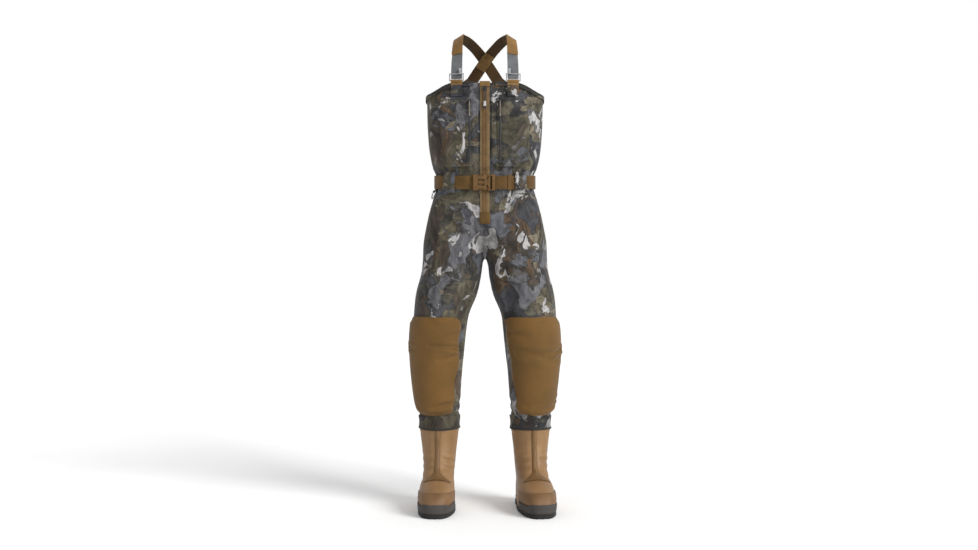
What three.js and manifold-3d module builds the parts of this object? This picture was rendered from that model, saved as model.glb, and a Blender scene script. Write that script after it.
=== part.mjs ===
// Chest waders standing on their own boots: bib, hips, legs, boots, centre zip, two
// pocket zips, wading belt and crossed braces. Millimetres, +Z up, toes towards -Y.
// Left and right are as seen from the front, so left is -X.
import * as THREE from "three";
import Module from "manifold-3d";

const wasm = await Module();
wasm.setup();

// ---- Heights --------------------------------------------------------------------
const BOOT_TOP_Z = 265;
const CUFF_HEM_Z = BOOT_TOP_Z - 13;
const CUFF_TOP_Z = BOOT_TOP_Z + 35;
const KNEE_PAD_TOP_Z = 617;
const CROTCH_Z = 828;
const WAIST_Z = 1043;
const BIB_TOP_Z = 1351;
const BIB_BACK_DROP = 54; // how far the back edge lies below the front edge
const SHOULDER_Z = 1511;

// ---- Body and leg girth ----------------------------------------------------------
const CHEST_HALF_WIDTH = 188;
const WAIST_HALF_WIDTH = 155.5;
const HIP_HALF_WIDTH = 203;
const CHEST_DEPTH = 120; // centre of the body to the front, and to the back
const BODY_Y = 35; // centre of the body
const KNEE_RADIUS = 88;
const ANKLE_RADIUS = 62.5;
const ANKLE_X = 148;
const ANKLE_Y = 60;
const LEG_GAP = 3; // between the two legs at the crotch

// ---- Cloth, webbing and clearances ------------------------------------------------
const CLOTH = 3; // shell cloth with its lining
const TRIM = 1.5; // binding, patches and loops
const WEBBING = 2;
const GAP = 0.35; // between pieces that lie on each other

// ---- Boots -----------------------------------------------------------------------
const BOOT_TOE = 225; // ankle centre to toe tip
const BOOT_HEEL = 74; // ankle centre to back of heel
const BOOT_HALF_WIDTH = 59; // across the ball of the foot
const BOOT_WALL = 4;
const SOLE_THICKNESS = 15;
const SOLE_LIP = 3.5; // how far the sole stands out past the upper
const TOE_OUT_LEFT = 3;
const TOE_OUT_RIGHT = 9;

// ---- Zips ------------------------------------------------------------------------
const ZIP_TAPE_WIDTH = 30;
const ZIP_TEETH_WIDTH = 12;
const ZIP_END_Z = WAIST_Z - 129;
const ZIP_SLIDER_Z = BIB_TOP_Z - 20;
const ZIP_PULL_LENGTH = 64;
const POCKET_X = 48; // centre line of each pocket zip
const POCKET_ZIP_TOP_Z = BIB_TOP_Z - 53;
const POCKET_ZIP_LENGTH = 204;
const POCKET_PULL_LENGTH = 50;
const POCKET_INNER_X = 21;
const POCKET_OUTER_X = 138;
const POCKET_BOTTOM_Z = WAIST_Z + 45;
const POCKET_TOP_Z = BIB_TOP_Z - 45;

// ---- Belt ------------------------------------------------------------------------
const BELT_HEIGHT = 42;
const BELT_Z = 1046; // middle of the belt at the sides
const BELT_DIP = 9; // how far the belt drops at the front and rises at the back
const BELT_LIFT = 5.4; // room behind the belt for the buckle's rear bar
const BELT_FLAT = 62; // the belt runs straight this far each side of the centre
const BELT_REACH = 90; // and then straight again to here, where it meets the body
const BUCKLE_HEIGHT = BELT_HEIGHT + 8;
const BUCKLE_LEFT = 37;
const BUCKLE_RIGHT = 32;
const PRONG_X = 9.5; // hinge of the two spring prongs
const PRONG_Z = BUCKLE_HEIGHT / 2 - 8;
const KEEPER_X = 80;
const LOOP_X = 108; // middle of each front belt loop
const LOOP_WIDTH = 33;

// ---- Braces ----------------------------------------------------------------------
const BRACE_WIDTH = 37;
const BRACE_X = 88; // where each brace leaves the bib
const BRACE_TOP_X = 82; // where it crosses the shoulder
const BRACE_ARC_Y = 30; // the shoulder's highest line
const BRACE_BACK_REACH = 125;
const FRAME_WIDTH = BRACE_WIDTH + 9;
const FRAME_HEIGHT = 24;
const FRAME_WIRE = 3;

// ---- Geometry helpers ---------------------------------------------------------------
const V = (x, y, z) => new THREE.Vector3(x, y, z);
const rad = THREE.MathUtils.degToRad;
const lerp = THREE.MathUtils.lerp;
const clamp = THREE.MathUtils.clamp;

// count + 1 even steps from a to b
function steps(a, b, count) {
  return Array.from({ length: count + 1 }, (_, i) => lerp(a, b, i / count));
}

// Reads a table of [position, value, value ...] rows smoothly, without overshooting.
function read(rows, at) {
  const last = rows.length - 1;
  if (at <= rows[0][0]) return rows[0].slice(1);
  if (at >= rows[last][0]) return rows[last].slice(1);
  let i = 0;
  while (rows[i + 1][0] < at) i++;
  const slope = (k, c) => (rows[k + 1][c] - rows[k][c]) / (rows[k + 1][0] - rows[k][0]);
  const tangent = (k, c) => {
    if (k === 0 || k === last) return 0;
    const before = slope(k - 1, c);
    const after = slope(k, c);
    return before * after <= 0 ? 0 : (2 * before * after) / (before + after);
  };
  const span = rows[i + 1][0] - rows[i][0];
  const t = (at - rows[i][0]) / span;
  return rows[i].slice(1).map((value, k) => {
    const c = k + 1;
    const rise = t * t * (3 - 2 * t);
    const leave = t * (1 - t) * (1 - t) * span * tangent(i, c);
    const arrive = t * t * (t - 1) * span * tangent(i + 1, c);
    return lerp(value, rows[i + 1][c], rise) + leave + arrive;
  });
}

// A closed geometry from corner points and triangles, turned so its faces point out.
function closed(points, faces) {
  let volume = 0;
  for (const [a, b, c] of faces) {
    volume += points[a].dot(points[b].clone().cross(points[c]));
  }
  const index = faces.flatMap(([a, b, c]) => (volume < 0 ? [a, c, b] : [a, b, c]));
  return new THREE.BufferGeometry().setFromPoints(points).setIndex(index);
}

// A slab between two grids of points; wrap joins its last column to its first.
function slab(outer, inner, wrap = false) {
  const columns = outer.length;
  const rows = outer[0].length;
  const points = [...outer.flat(), ...inner.flat()];
  const id = (side, i, j) => side * columns * rows + (i % columns) * rows + j;
  const faces = [];
  const quad = (a, b, c, d) => faces.push([a, b, c], [a, c, d]);
  const across = wrap ? columns : columns - 1;
  for (let i = 0; i < across; i++) {
    for (let j = 0; j < rows - 1; j++) {
      quad(id(0, i, j), id(0, i + 1, j), id(0, i + 1, j + 1), id(0, i, j + 1));
      quad(id(1, i, j), id(1, i, j + 1), id(1, i + 1, j + 1), id(1, i + 1, j));
    }
    quad(id(0, i, 0), id(1, i, 0), id(1, i + 1, 0), id(0, i + 1, 0));
    const top = rows - 1;
    quad(id(0, i, top), id(0, i + 1, top), id(1, i + 1, top), id(1, i, top));
  }
  if (!wrap) {
    for (let j = 0; j < rows - 1; j++) {
      const end = columns - 1;
      quad(id(0, 0, j), id(0, 0, j + 1), id(1, 0, j + 1), id(1, 0, j));
      quad(id(0, end, j), id(1, end, j), id(1, end, j + 1), id(0, end, j + 1));
    }
  }
  return closed(points, faces);
}

// A solid through rings of points, closed with a fan over its first and last ring.
function loft(rings) {
  const count = rings[0].length;
  const points = rings.flat();
  const faces = [];
  for (let r = 0; r < rings.length - 1; r++) {
    for (let i = 0; i < count; i++) {
      const a = r * count + i;
      const b = r * count + ((i + 1) % count);
      faces.push([a, b, b + count], [a, b + count, a + count]);
    }
  }
  for (const r of [0, rings.length - 1]) {
    const middle = rings[r].reduce((sum, p) => sum.add(p), V(0, 0, 0)).divideScalar(count);
    const hub = points.push(middle) - 1;
    for (let i = 0; i < count; i++) {
      const a = r * count + i;
      const b = r * count + ((i + 1) % count);
      faces.push(r === 0 ? [a, hub, b] : [a, b, hub]);
    }
  }
  return closed(points, faces);
}

// The point of a surface moved out along its normal.
function lifted(surface, u, v, out) {
  const across = surface(u + 0.5, v).sub(surface(u - 0.5, v));
  const up = surface(u, v + 0.5).sub(surface(u, v - 0.5));
  return surface(u, v).addScaledVector(across.cross(up).normalize(), out);
}

// Cloth lying on a surface between two lifts. vs and the lifts may depend on place.
function sheet(surface, us, vs, inner, outer, wrap = false) {
  const grid = (lift) =>
    us.map((u) =>
      (typeof vs === "function" ? vs(u) : vs).map((v, j) =>
        lifted(surface, u, v, typeof lift === "function" ? lift(u, j) : lift),
      ),
    );
  return slab(grid(outer), grid(inner), wrap);
}

// A strap through stations of point and outward normal.
function ribbon(stations, width, lift, thickness) {
  const grid = (out) =>
    stations.map(({ point, normal }, i) => {
      const ahead = stations[Math.min(i + 1, stations.length - 1)].point;
      const behind = stations[Math.max(i - 1, 0)].point;
      const along = ahead.clone().sub(behind).normalize();
      const side = normal.clone().cross(along).normalize();
      const face = along.clone().cross(side);
      return [-width / 2, width / 2].map((w) =>
        point.clone().addScaledVector(side, w).addScaledVector(face, out),
      );
    });
  return slab(grid(lift + thickness), grid(lift));
}

function box(x0, x1, y0, y1, z0, z1) {
  const shape = new THREE.BoxGeometry(x1 - x0, y1 - y0, z1 - z0);
  return shape.translate((x0 + x1) / 2, (y0 + y1) / 2, (z0 + z1) / 2);
}

// A round bar along X.
function bar(radius, x0, x1, y, z, sides = 12) {
  const shape = new THREE.CylinderGeometry(radius, radius, x1 - x0, sides);
  return shape.rotateZ(Math.PI / 2).translate((x0 + x1) / 2, y, z);
}

// A flat outline in (y, z), drawn in order, given thickness along X.
function profile(outline, x0, x1) {
  const shape = new THREE.Shape(outline);
  const made = new THREE.ExtrudeGeometry(shape, { depth: x1 - x0, bevelEnabled: false });
  const toX = new THREE.Matrix4().makeBasis(V(0, 1, 0), V(0, 0, 1), V(1, 0, 0));
  return made.applyMatrix4(toX).translate(x0, 0, 0);
}

const toSolid = (geometry) => {
  const flat = geometry.index ? geometry.toNonIndexed() : geometry;
  const from = flat.getAttribute("position");
  const seen = new Map();
  const numbers = [];
  const triangles = [];
  for (let i = 0; i < from.count; i++) {
    const p = [from.getX(i), from.getY(i), from.getZ(i)];
    const key = p.map((n) => n.toFixed(3)).join(" ");
    if (!seen.has(key)) {
      seen.set(key, numbers.length / 3);
      numbers.push(...p);
    }
    triangles.push(seen.get(key));
  }
  return new wasm.Manifold(
    new wasm.Mesh({
      numProp: 3,
      vertProperties: new Float32Array(numbers),
      triVerts: new Uint32Array(triangles),
    }),
  );
};

const fromSolid = (made) => {
  const found = made.getMesh();
  return new THREE.BufferGeometry()
    .setAttribute("position", new THREE.BufferAttribute(found.vertProperties, 3))
    .setIndex(new THREE.BufferAttribute(found.triVerts, 1));
};

// The first list joined, less the second list.
function carve(joined, cut = []) {
  const whole = joined.map(toSolid).reduce((a, b) => a.add(b));
  return fromSolid(cut.map(toSolid).reduce((a, b) => a.subtract(b), whole));
}

// ---- Materials ---------------------------------------------------------------------
const MATERIALS = {
  camo: [0x5f5f58, 0.9, 0],
  tan: [0x9a7443, 0.85, 0],
  dark: [0x3c3a38, 0.9, 0],
  webbing: [0x8a6222, 0.8, 0],
  elastic: [0x7c7e80, 0.8, 0],
  tape: [0x9a7b4a, 0.85, 0],
  teeth: [0x7a5520, 0.6, 0],
  plastic: [0x2a2a2c, 0.5, 0],
  cord: [0xd8d2c4, 0.8, 0],
  metal: [0xb8babc, 0.25, 1],
  rubber: [0xa9855a, 0.6, 0],
  rib: [0x7a5a2c, 0.65, 0],
  cap: [0x7f5f3c, 0.6, 0],
  bumper: [0x7c7c78, 0.7, 0],
  sole: [0x2c2a28, 0.8, 0],
};

const waders = new THREE.Group();
waders.name = "chest_waders";

function add(name, geometry, look, parent = waders) {
  const [color, roughness, metalness] = MATERIALS[look];
  const material = new THREE.MeshStandardMaterial({ color, roughness, metalness });
  const mesh = new THREE.Mesh(geometry, material);
  mesh.name = name;
  parent.add(mesh);
  return mesh;
}

// ---- Body surface ------------------------------------------------------------------
// Angle 0 is the front centre, 90 the right side, 180 the back centre.
const FRONT_SQUARENESS = 3;
const BACK_SQUARENESS = 2.4;
const rise = (share) => lerp(CROTCH_Z, WAIST_Z, share);
const chest = (share) => lerp(WAIST_Z, BIB_TOP_Z, share);
const BODY = [
  [CROTCH_Z, HIP_HALF_WIDTH, CHEST_DEPTH - 17, CHEST_DEPTH - 9],
  [rise(0.42), 0.93 * HIP_HALF_WIDTH, CHEST_DEPTH - 3, CHEST_DEPTH + 3],
  [rise(0.7), 0.855 * HIP_HALF_WIDTH, CHEST_DEPTH - 4, CHEST_DEPTH],
  [rise(0.9), WAIST_HALF_WIDTH + 3, CHEST_DEPTH - 7, CHEST_DEPTH - 7],
  [WAIST_Z, WAIST_HALF_WIDTH, CHEST_DEPTH - 8, CHEST_DEPTH - 9],
  [chest(0.1), WAIST_HALF_WIDTH + 1, CHEST_DEPTH - 6, CHEST_DEPTH - 8],
  [chest(0.15), lerp(WAIST_HALF_WIDTH, CHEST_HALF_WIDTH, 0.4), CHEST_DEPTH, CHEST_DEPTH - 4],
  [chest(0.34), 0.96 * CHEST_HALF_WIDTH, CHEST_DEPTH, CHEST_DEPTH],
  [chest(0.65), CHEST_HALF_WIDTH, CHEST_DEPTH, CHEST_DEPTH],
  [BIB_TOP_Z, CHEST_HALF_WIDTH, CHEST_DEPTH, CHEST_DEPTH],
];

function body(angle, z) {
  const [halfWidth, front, back] = read(BODY, z);
  const s = Math.sin(rad(angle));
  const c = Math.cos(rad(angle));
  const power = 2 / (c > 0 ? FRONT_SQUARENESS : BACK_SQUARENESS);
  const x = halfWidth * Math.sign(s) * Math.abs(s) ** power;
  // Towards the crotch the section parts into the two legs.
  const half = halfWidth / 2;
  const off = (Math.abs(x) - half) / half;
  const parted = Math.sqrt(Math.max(0, 1 - (off < 0 ? 0.97 : 1) * off * off));
  const whole = Math.abs(c) ** power;
  const part = clamp((rise(0.45) - z) / (rise(0.45) - CROTCH_Z), 0, 1);
  const share = lerp(whole, parted, part * part * (3 - 2 * part));
  return V(x, BODY_Y - (c > 0 ? front : -back) * share, z);
}

// The body's front, read by distance from the centre line instead of by angle.
function front(x, z) {
  const [halfWidth] = read(BODY, z);
  const s = (Math.min(Math.abs(x), halfWidth) / halfWidth) ** (FRONT_SQUARENESS / 2);
  return body((Math.sign(x) * Math.asin(s) * 180) / Math.PI, z);
}

// ---- Bib and hips ------------------------------------------------------------------
const EDGE = [
  [0, 0],
  [19, 0],
  [31, 0.14],
  [47, 0.42],
  [60, 0.56],
  [90, 0.66],
  [180, 1],
];
function bibTop(angle) {
  return BIB_TOP_Z - BIB_BACK_DROP * read(EDGE, Math.abs(((angle + 540) % 360) - 180))[0];
}

const SEAM = 0.2; // half the gap where two panels are sewn edge to edge
const centreSeam = 0.004; // degrees; the front panels meet along the centre line
const frontAngles = [centreSeam, 0.6, 3, 8, 15, 24, 35, 47, 60, 73, 83, 90 - SEAM];
const backAngles = [
  ...[0, 7, 17, 30, 43, 55, 66, 75, 82].map((a) => 90 + SEAM + a),
  180,
  ...[82, 75, 66, 55, 43, 30, 17, 7, 0].map((a) => 270 - SEAM - a),
];
const bibRows = (angle) => {
  const top = bibTop(angle);
  return [0, 0.06, 0.12, 0.2, 0.34, 0.6, 1].map((t) => lerp(WAIST_Z + SEAM, top, t));
};
const hipRows = [0, 0.12, 0.28, 0.44, 0.6, 0.75, 0.9, 1].map((t) =>
  lerp(CROTCH_Z + SEAM, WAIST_Z - SEAM, t),
);

for (const [side, sign] of [
  ["left", -1],
  ["right", 1],
]) {
  const angles = frontAngles.map((a) => sign * a);
  add(`bib_front_${side}`, sheet(body, angles, bibRows, -CLOTH, 0), "camo");
  add(`hip_front_${side}`, sheet(body, angles, hipRows, -CLOTH, 0), "camo");
}
add("bib_back", sheet(body, backAngles, bibRows, -CLOTH, 0), "camo");
add("hip_back", sheet(body, backAngles, hipRows, -CLOTH, 0), "camo");

// The binding covers the bib's top edge from one side of the zip round to the other.
const BINDING_HEIGHT = 12;
const bindingAngles = [
  ...frontAngles.slice(2),
  ...backAngles,
  ...frontAngles.slice(2).map((a) => 360 - a).reverse(),
];
add(
  "bib_binding",
  sheet(body, bindingAngles, (a) => [bibTop(a) - BINDING_HEIGHT, bibTop(a)], GAP, GAP + TRIM),
  "dark",
);

// ---- Legs --------------------------------------------------------------------------
const legTopRadius = (HIP_HALF_WIDTH - LEG_GAP / 2) / 2;
const legSpan = (share) => lerp(CUFF_TOP_Z, CROTCH_Z, share);
const LEG_TOP_X = HIP_HALF_WIDTH - legTopRadius;
const LEG = [
  // height, centre out from the middle, half-width, half-depth, centre y
  [CUFF_HEM_Z, ANKLE_X, ANKLE_RADIUS, ANKLE_RADIUS, ANKLE_Y],
  [BOOT_TOP_Z + 6, ANKLE_X, ANKLE_RADIUS, ANKLE_RADIUS, ANKLE_Y],
  [legSpan(0.09), ANKLE_X + 2, 0.83 * KNEE_RADIUS, 0.85 * KNEE_RADIUS, ANKLE_Y],
  [legSpan(0.27), ANKLE_X + 4, 0.93 * KNEE_RADIUS, 0.96 * KNEE_RADIUS, ANKLE_Y - 4],
  [legSpan(0.43), ANKLE_X + 2, KNEE_RADIUS, 1.03 * KNEE_RADIUS, ANKLE_Y - 10],
  [legSpan(0.6), 0.9 * ANKLE_X + 0.1 * LEG_TOP_X, 0.97 * KNEE_RADIUS + 5, KNEE_RADIUS + 6, 46],
  [legSpan(0.76), lerp(LEG_TOP_X, ANKLE_X, 0.45), legTopRadius, legTopRadius - 2, 42],
  [legSpan(0.88), LEG_TOP_X + 6, legTopRadius - 2, legTopRadius + 3, 40],
  [CROTCH_Z, LEG_TOP_X, legTopRadius, legTopRadius + 6, BODY_Y + 4],
];

function leg(sign) {
  return (angle, z) => {
    const [x, halfWidth, halfDepth, y] = read(LEG, z);
    const s = Math.sin(rad(angle));
    const c = Math.cos(rad(angle));
    return V(sign * x + halfWidth * s, y - halfDepth * c, z);
  };
}

const legAngles = steps(-180, 162, 19);
const cuffRows = [BOOT_TOP_Z + 6, lerp(BOOT_TOP_Z, CUFF_TOP_Z, 0.6), CUFF_TOP_Z];
const padRows = steps(CUFF_TOP_Z + 2, KNEE_PAD_TOP_Z, 6);
const legRows = [
  BOOT_TOP_Z + GAP,
  ...cuffRows,
  ...padRows,
  ...steps(KNEE_PAD_TOP_Z, CROTCH_Z - SEAM, 4).slice(1),
];
for (const [side, sign] of [
  ["left", -1],
  ["right", 1],
]) {
  const surface = leg(sign);
  add(`leg_${side}`, sheet(surface, legAngles, legRows, -CLOTH, 0, true), "camo");
  const padAngles = steps(-36, 108, 8).map((a) => sign * a);
  add(`knee_pad_${side}`, sheet(surface, padAngles, padRows, GAP, GAP + 3), "tan");
  const hemRows = [CUFF_HEM_Z, ...cuffRows];
  add(`ankle_cuff_${side}`, sheet(surface, legAngles, hemRows, GAP, GAP + 2.4, true), "camo");
}

// ---- Boots -------------------------------------------------------------------------
const SHAFT_RADIUS = ANKLE_RADIUS - 1; // inside the cuff
// height, toe reach, heel reach, half-width, how far the section is a foot's outline
const toe = (share) => share * BOOT_TOE;
const BOOT = [
  [0, toe(0.985), BOOT_HEEL - 2, 0.74 * BOOT_HALF_WIDTH, 1],
  [45, toe(1), BOOT_HEEL, 0.76 * BOOT_HALF_WIDTH, 1],
  [60, toe(0.965), BOOT_HEEL - 1, 0.76 * BOOT_HALF_WIDTH, 1],
  [74, toe(0.88), BOOT_HEEL - 3, 0.75 * BOOT_HALF_WIDTH, 0.95],
  [86, toe(0.75), BOOT_HEEL - 5, 0.76 * BOOT_HALF_WIDTH, 0.8],
  [98, toe(0.6), BOOT_HEEL - 7, 0.79 * BOOT_HALF_WIDTH, 0.55],
  [112, toe(0.46), BOOT_HEEL - 9, 0.82 * BOOT_HALF_WIDTH, 0.3],
  [132, toe(0.36), BOOT_HEEL - 11, 0.86 * BOOT_HALF_WIDTH, 0.1],
  [165, toe(0.3), BOOT_HEEL - 12, 0.92 * BOOT_HALF_WIDTH, 0],
  [205, 0.98 * SHAFT_RADIUS, 0.97 * SHAFT_RADIUS, 0.95 * SHAFT_RADIUS, 0],
  [CUFF_HEM_Z - 8, SHAFT_RADIUS, SHAFT_RADIUS, SHAFT_RADIUS, 0],
  [BOOT_TOP_Z, SHAFT_RADIUS, SHAFT_RADIUS, SHAFT_RADIUS, 0],
];

// Angle 0 is the toe; positive angles go round towards +X.
function boot(sign, toeOut, grow = 0) {
  const turn = sign * rad(toeOut);
  return (angle, z) => {
    const [toeReach, heelReach, halfWidth, foot] = read(BOOT, z);
    const c = Math.cos(rad(angle));
    const s = Math.sin(rad(angle));
    const ahead = (c > 0 ? toeReach : heelReach) + grow;
    const reach = Math.sign(c) * Math.abs(c) ** lerp(1, 0.86, foot);
    const along = ahead * reach;
    // The foot is widest two thirds of the way to the toe.
    const ball = reach > 0 ? Math.sin((Math.PI / 2) * Math.min(1, 1.5 * reach)) : 0;
    const round = Math.abs(s) ** lerp(1, 0.64, foot);
    const across = Math.sign(s) * round * halfWidth * (1 + 0.38 * foot * ball);
    const lean = -sign * 5 * foot * Math.max(0, reach) ** 2;
    const wide = across + lean + Math.sign(s) * round * grow;
    return V(
      sign * ANKLE_X + wide * Math.cos(turn) + along * Math.sin(turn),
      ANKLE_Y - along * Math.cos(turn) + wide * Math.sin(turn),
      z,
    );
  };
}

const BUMPER_TOP_Z = 46;
const toeAngles = [-64, -51, -39, -28, -18, -9, 0, 9, 18, 28, 39, 51, 64];
const ribHeights = [88, 97, 108, 122, 142, 180, CUFF_HEM_Z - 1];
const capHeights = [57, 68, 80];
const bootAngles = [...toeAngles, 83, 103, 128, 154, 180, 206, 232, 257, 277];
for (const [side, sign, toeOut] of [
  ["left", -1, TOE_OUT_LEFT],
  ["right", 1, TOE_OUT_RIGHT],
]) {
  const surface = boot(sign, toeOut);
  const floor = SOLE_THICKNESS + GAP;
  const heights = [floor, 32, BUMPER_TOP_Z, ...capHeights, ...ribHeights, BOOT_TOP_Z];
  const ring = (z, out) => bootAngles.map((a) => lifted(surface, a, z, out));
  const inside = [BOOT_TOP_Z, 205, 150, 122, 104, 90, 78, 66];
  const flatRing = bootAngles.map((a) => surface(a, floor + BOOT_WALL));
  const middle = V(0, 0, floor + BOOT_WALL);
  flatRing.forEach((p) => middle.add(V(p.x, p.y, 0).divideScalar(flatRing.length)));
  const footbed = flatRing.map((p) => p.clone().lerp(middle, 0.1));
  const lower = bootAngles.map((a, i) => {
    const p = lifted(surface, a, 40, -BOOT_WALL);
    return p.lerp(V(footbed[i].x, footbed[i].y, 40), 0.25);
  });
  add(
    `boot_${side}_upper`,
    loft([
      ...heights.map((z) => ring(z, 0)),
      ...inside.map((z) => ring(z, -BOOT_WALL).map((p) => p.setZ(z))),
      lower,
      footbed,
    ]),
    "rubber",
  );

  const soleRing = (z, inset) => {
    const edge = boot(sign, toeOut, SOLE_LIP - inset);
    return bootAngles.map((a) => edge(a, 20).setZ(z));
  };
  add(
    `boot_${side}_outsole`,
    loft([soleRing(0, 3), soleRing(3, 0.5), soleRing(SOLE_THICKNESS, 0)]),
    "sole",
  );

  const bumperRows = [floor, 32, BUMPER_TOP_Z];
  const bumperOut = (a, j) => 2 * GAP + (j === 1 ? 4 : 2.6);
  add(
    `boot_${side}_toe_bumper`,
    sheet(surface, toeAngles, bumperRows, 2 * GAP, bumperOut),
    "bumper",
  );
  const capRows = [BUMPER_TOP_Z + 1.2, ...capHeights];
  add(`boot_${side}_toe_cap`, sheet(surface, toeAngles, capRows, 2 * GAP, 2 * GAP + 1.8), "cap");

  // The rib runs down the shin and widens over the instep.
  const RIB = [
    [88, 18],
    [97, 30],
    [108, 22],
    [128, 10],
    [CUFF_HEM_Z, 9],
  ];
  const ribColumn = (t) =>
    ribHeights.map((z) => {
      const [halfAngle] = read(RIB, z);
      return [t * halfAngle, z];
    });
  const ribGrid = (out) =>
    steps(-1, 1, 6).map((t) =>
      ribColumn(t).map(([a, z]) => lifted(surface, a, z, out * (1 - 0.45 * t * t) + 2 * GAP)),
    );
  add(`boot_${side}_shin_rib`, slab(ribGrid(4), ribGrid(0)), "rib");
}

// ---- Centre zip --------------------------------------------------------------------
function zipRows(top, bottom) {
  const between = [...hipRows, ...bibRows(0)].filter((z) => z > bottom + 5 && z < top - 5);
  return [bottom, ...between, top];
}
const tapeHalf = ZIP_TAPE_WIDTH / 2;
const teethHalf = ZIP_TEETH_WIDTH / 2;
const TAPE_OUT = GAP + 1;
const TEETH_OUT = TAPE_OUT + GAP + 1.4;
const PATCH_OUT = TEETH_OUT + GAP + TRIM;
add(
  "centre_zip_tape",
  sheet(front, [-tapeHalf, -5, 5, tapeHalf], zipRows(BIB_TOP_Z, ZIP_END_Z), GAP, TAPE_OUT),
  "tape",
);
add(
  "centre_zip_teeth",
  sheet(
    front,
    [-teethHalf, -3, 3, teethHalf],
    zipRows(BIB_TOP_Z - 2, ZIP_END_Z + 8),
    TAPE_OUT + GAP,
    (x) => TEETH_OUT - (Math.abs(x) > 4 ? 0.6 : 0),
  ),
  "teeth",
);
const patchHalf = tapeHalf + 1;
add(
  "centre_zip_garage",
  sheet(
    front,
    [-patchHalf, -6, 6, patchHalf],
    [BIB_TOP_Z - 13, BIB_TOP_Z - 6, BIB_TOP_Z + 3],
    TEETH_OUT + GAP,
    PATCH_OUT,
  ),
  "tan",
);
add(
  "centre_zip_end_patch",
  sheet(
    front,
    [-patchHalf, -6, 6, patchHalf],
    [ZIP_END_Z - 4, ZIP_END_Z + 13, ZIP_END_Z + 30],
    TEETH_OUT + 4 * GAP,
    PATCH_OUT + 3 * GAP,
  ),
  "tan",
);

// A slider with two ears, and the pull that swings between them on a round bar.
function sliderAt(y, z, width, height, thick) {
  const half = width / 2;
  const ear = (x) => box(x - 0.8, x + 0.8, y - thick - 4.2, y - thick + 0.5, z - 2.4, z + 2.4);
  return carve([
    box(-half, half, y - thick, y, z - height / 2, z + height / 2),
    ear(half - 1),
    ear(1 - half),
  ]);
}

function pullAt(y, z, width, length, tabWidth, tabLength) {
  const end = z - length;
  const half = width / 2 - 1 - 0.8 - GAP;
  const cordHalf = 1.6;
  return carve([
    bar(1.5, -half, half, y, z, 10),
    box(-cordHalf, cordHalf, y - 1.2, y + 1.2, end + tabLength - 1, z),
    box(-tabWidth / 2, tabWidth / 2, y - 1.6, y + 1.6, end, end + tabLength),
  ]);
}

const SLIDER_WIDTH = 11;
const SLIDER_THICK = 4;
const zipFace = front(0, ZIP_SLIDER_Z).y - TEETH_OUT - GAP;
const pullY = zipFace - SLIDER_THICK - 2.2;
add("centre_zip_slider", sliderAt(zipFace, ZIP_SLIDER_Z, SLIDER_WIDTH, 12, SLIDER_THICK), "plastic");
add("centre_zip_pull", pullAt(pullY, ZIP_SLIDER_Z, SLIDER_WIDTH, ZIP_PULL_LENGTH, 9, 24), "cord");

// ---- Chest pockets and their zips ---------------------------------------------------
const POCKET_OUT = GAP + 2.4;
const POCKET_CORNER = 22;
const POCKET_SLIDER_Z = POCKET_ZIP_TOP_Z - 7;
const pocketXs = [0, 0.03, 0.08, 0.16, 0.3, 0.5, 0.68, 0.82, 0.9, 0.96, 1].map((t) =>
  lerp(POCKET_INNER_X, POCKET_OUTER_X, t),
);
function pocketRows(x) {
  const edge = Math.min(Math.abs(x) - POCKET_INNER_X, POCKET_OUTER_X - Math.abs(x));
  const into = clamp(1 - edge / POCKET_CORNER, 0, 1);
  const corner = POCKET_CORNER * (1 - Math.sqrt(1 - into * into));
  const bottom = POCKET_BOTTOM_Z + corner;
  return [0, 0.12, 0.3, 0.6, 1].map((t) => lerp(bottom, POCKET_TOP_Z - 0.4 * corner, t));
}
const STRIP_OUT = 1;
const RIDGE_OUT = 2;
for (const [side, sign] of [
  ["left", -1],
  ["right", 1],
]) {
  const xs = pocketXs.map((x) => sign * x);
  add(`chest_pocket_${side}`, sheet(front, xs, pocketRows, GAP, POCKET_OUT), "camo");

  const tapeBack = POCKET_OUT + GAP + 0.3;
  const tapeXs = [-11, -3.4, -2.8, 2.8, 3.4, 11].map((x) => sign * POCKET_X + x);
  const ridge = (x) => Math.abs(Math.abs(x) - POCKET_X) < 3;
  const tapeFace = front(sign * POCKET_X, 1200).y - tapeBack;
  const flat = (out) =>
    tapeXs.map((x) =>
      [POCKET_ZIP_TOP_Z - POCKET_ZIP_LENGTH, POCKET_ZIP_TOP_Z].map((z) =>
        V(x, lifted(front, x, 1200, tapeBack).y - (out ? (ridge(x) ? RIDGE_OUT : STRIP_OUT) : 0), z),
      ),
    );
  add(`pocket_zip_tape_${side}`, slab(flat(true), flat(false)), "tape");

  const face = tapeFace - RIDGE_OUT - GAP;
  const hang = face - 3.2 - 2.2;
  const slider = add(`pocket_zip_slider_${side}`, sliderAt(face, POCKET_SLIDER_Z, 9, 9, 3.2), "plastic");
  const pull = add(
    `pocket_zip_pull_${side}`,
    pullAt(hang, POCKET_SLIDER_Z, 9, POCKET_PULL_LENGTH, 4.4, 9),
    "cord",
  );
  slider.position.x = sign * POCKET_X;
  pull.position.x = sign * POCKET_X;
}

// ---- Belt --------------------------------------------------------------------------
const beltMiddle = (angle) => BELT_Z - BELT_DIP * Math.cos(rad(angle));
const frontZ = beltMiddle(0);
const flatFace = lifted(front, 0, frontZ, BELT_LIFT).y;
const beltHalfWidth = read(BODY, BELT_Z)[0];
function angleOfX(x) {
  return (Math.sign(x) * Math.asin((Math.abs(x) / beltHalfWidth) ** 1.5) * 180) / Math.PI;
}
const reachFace = lifted(body, angleOfX(BELT_REACH), BELT_Z - BELT_DIP, BELT_LIFT).y;
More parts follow.
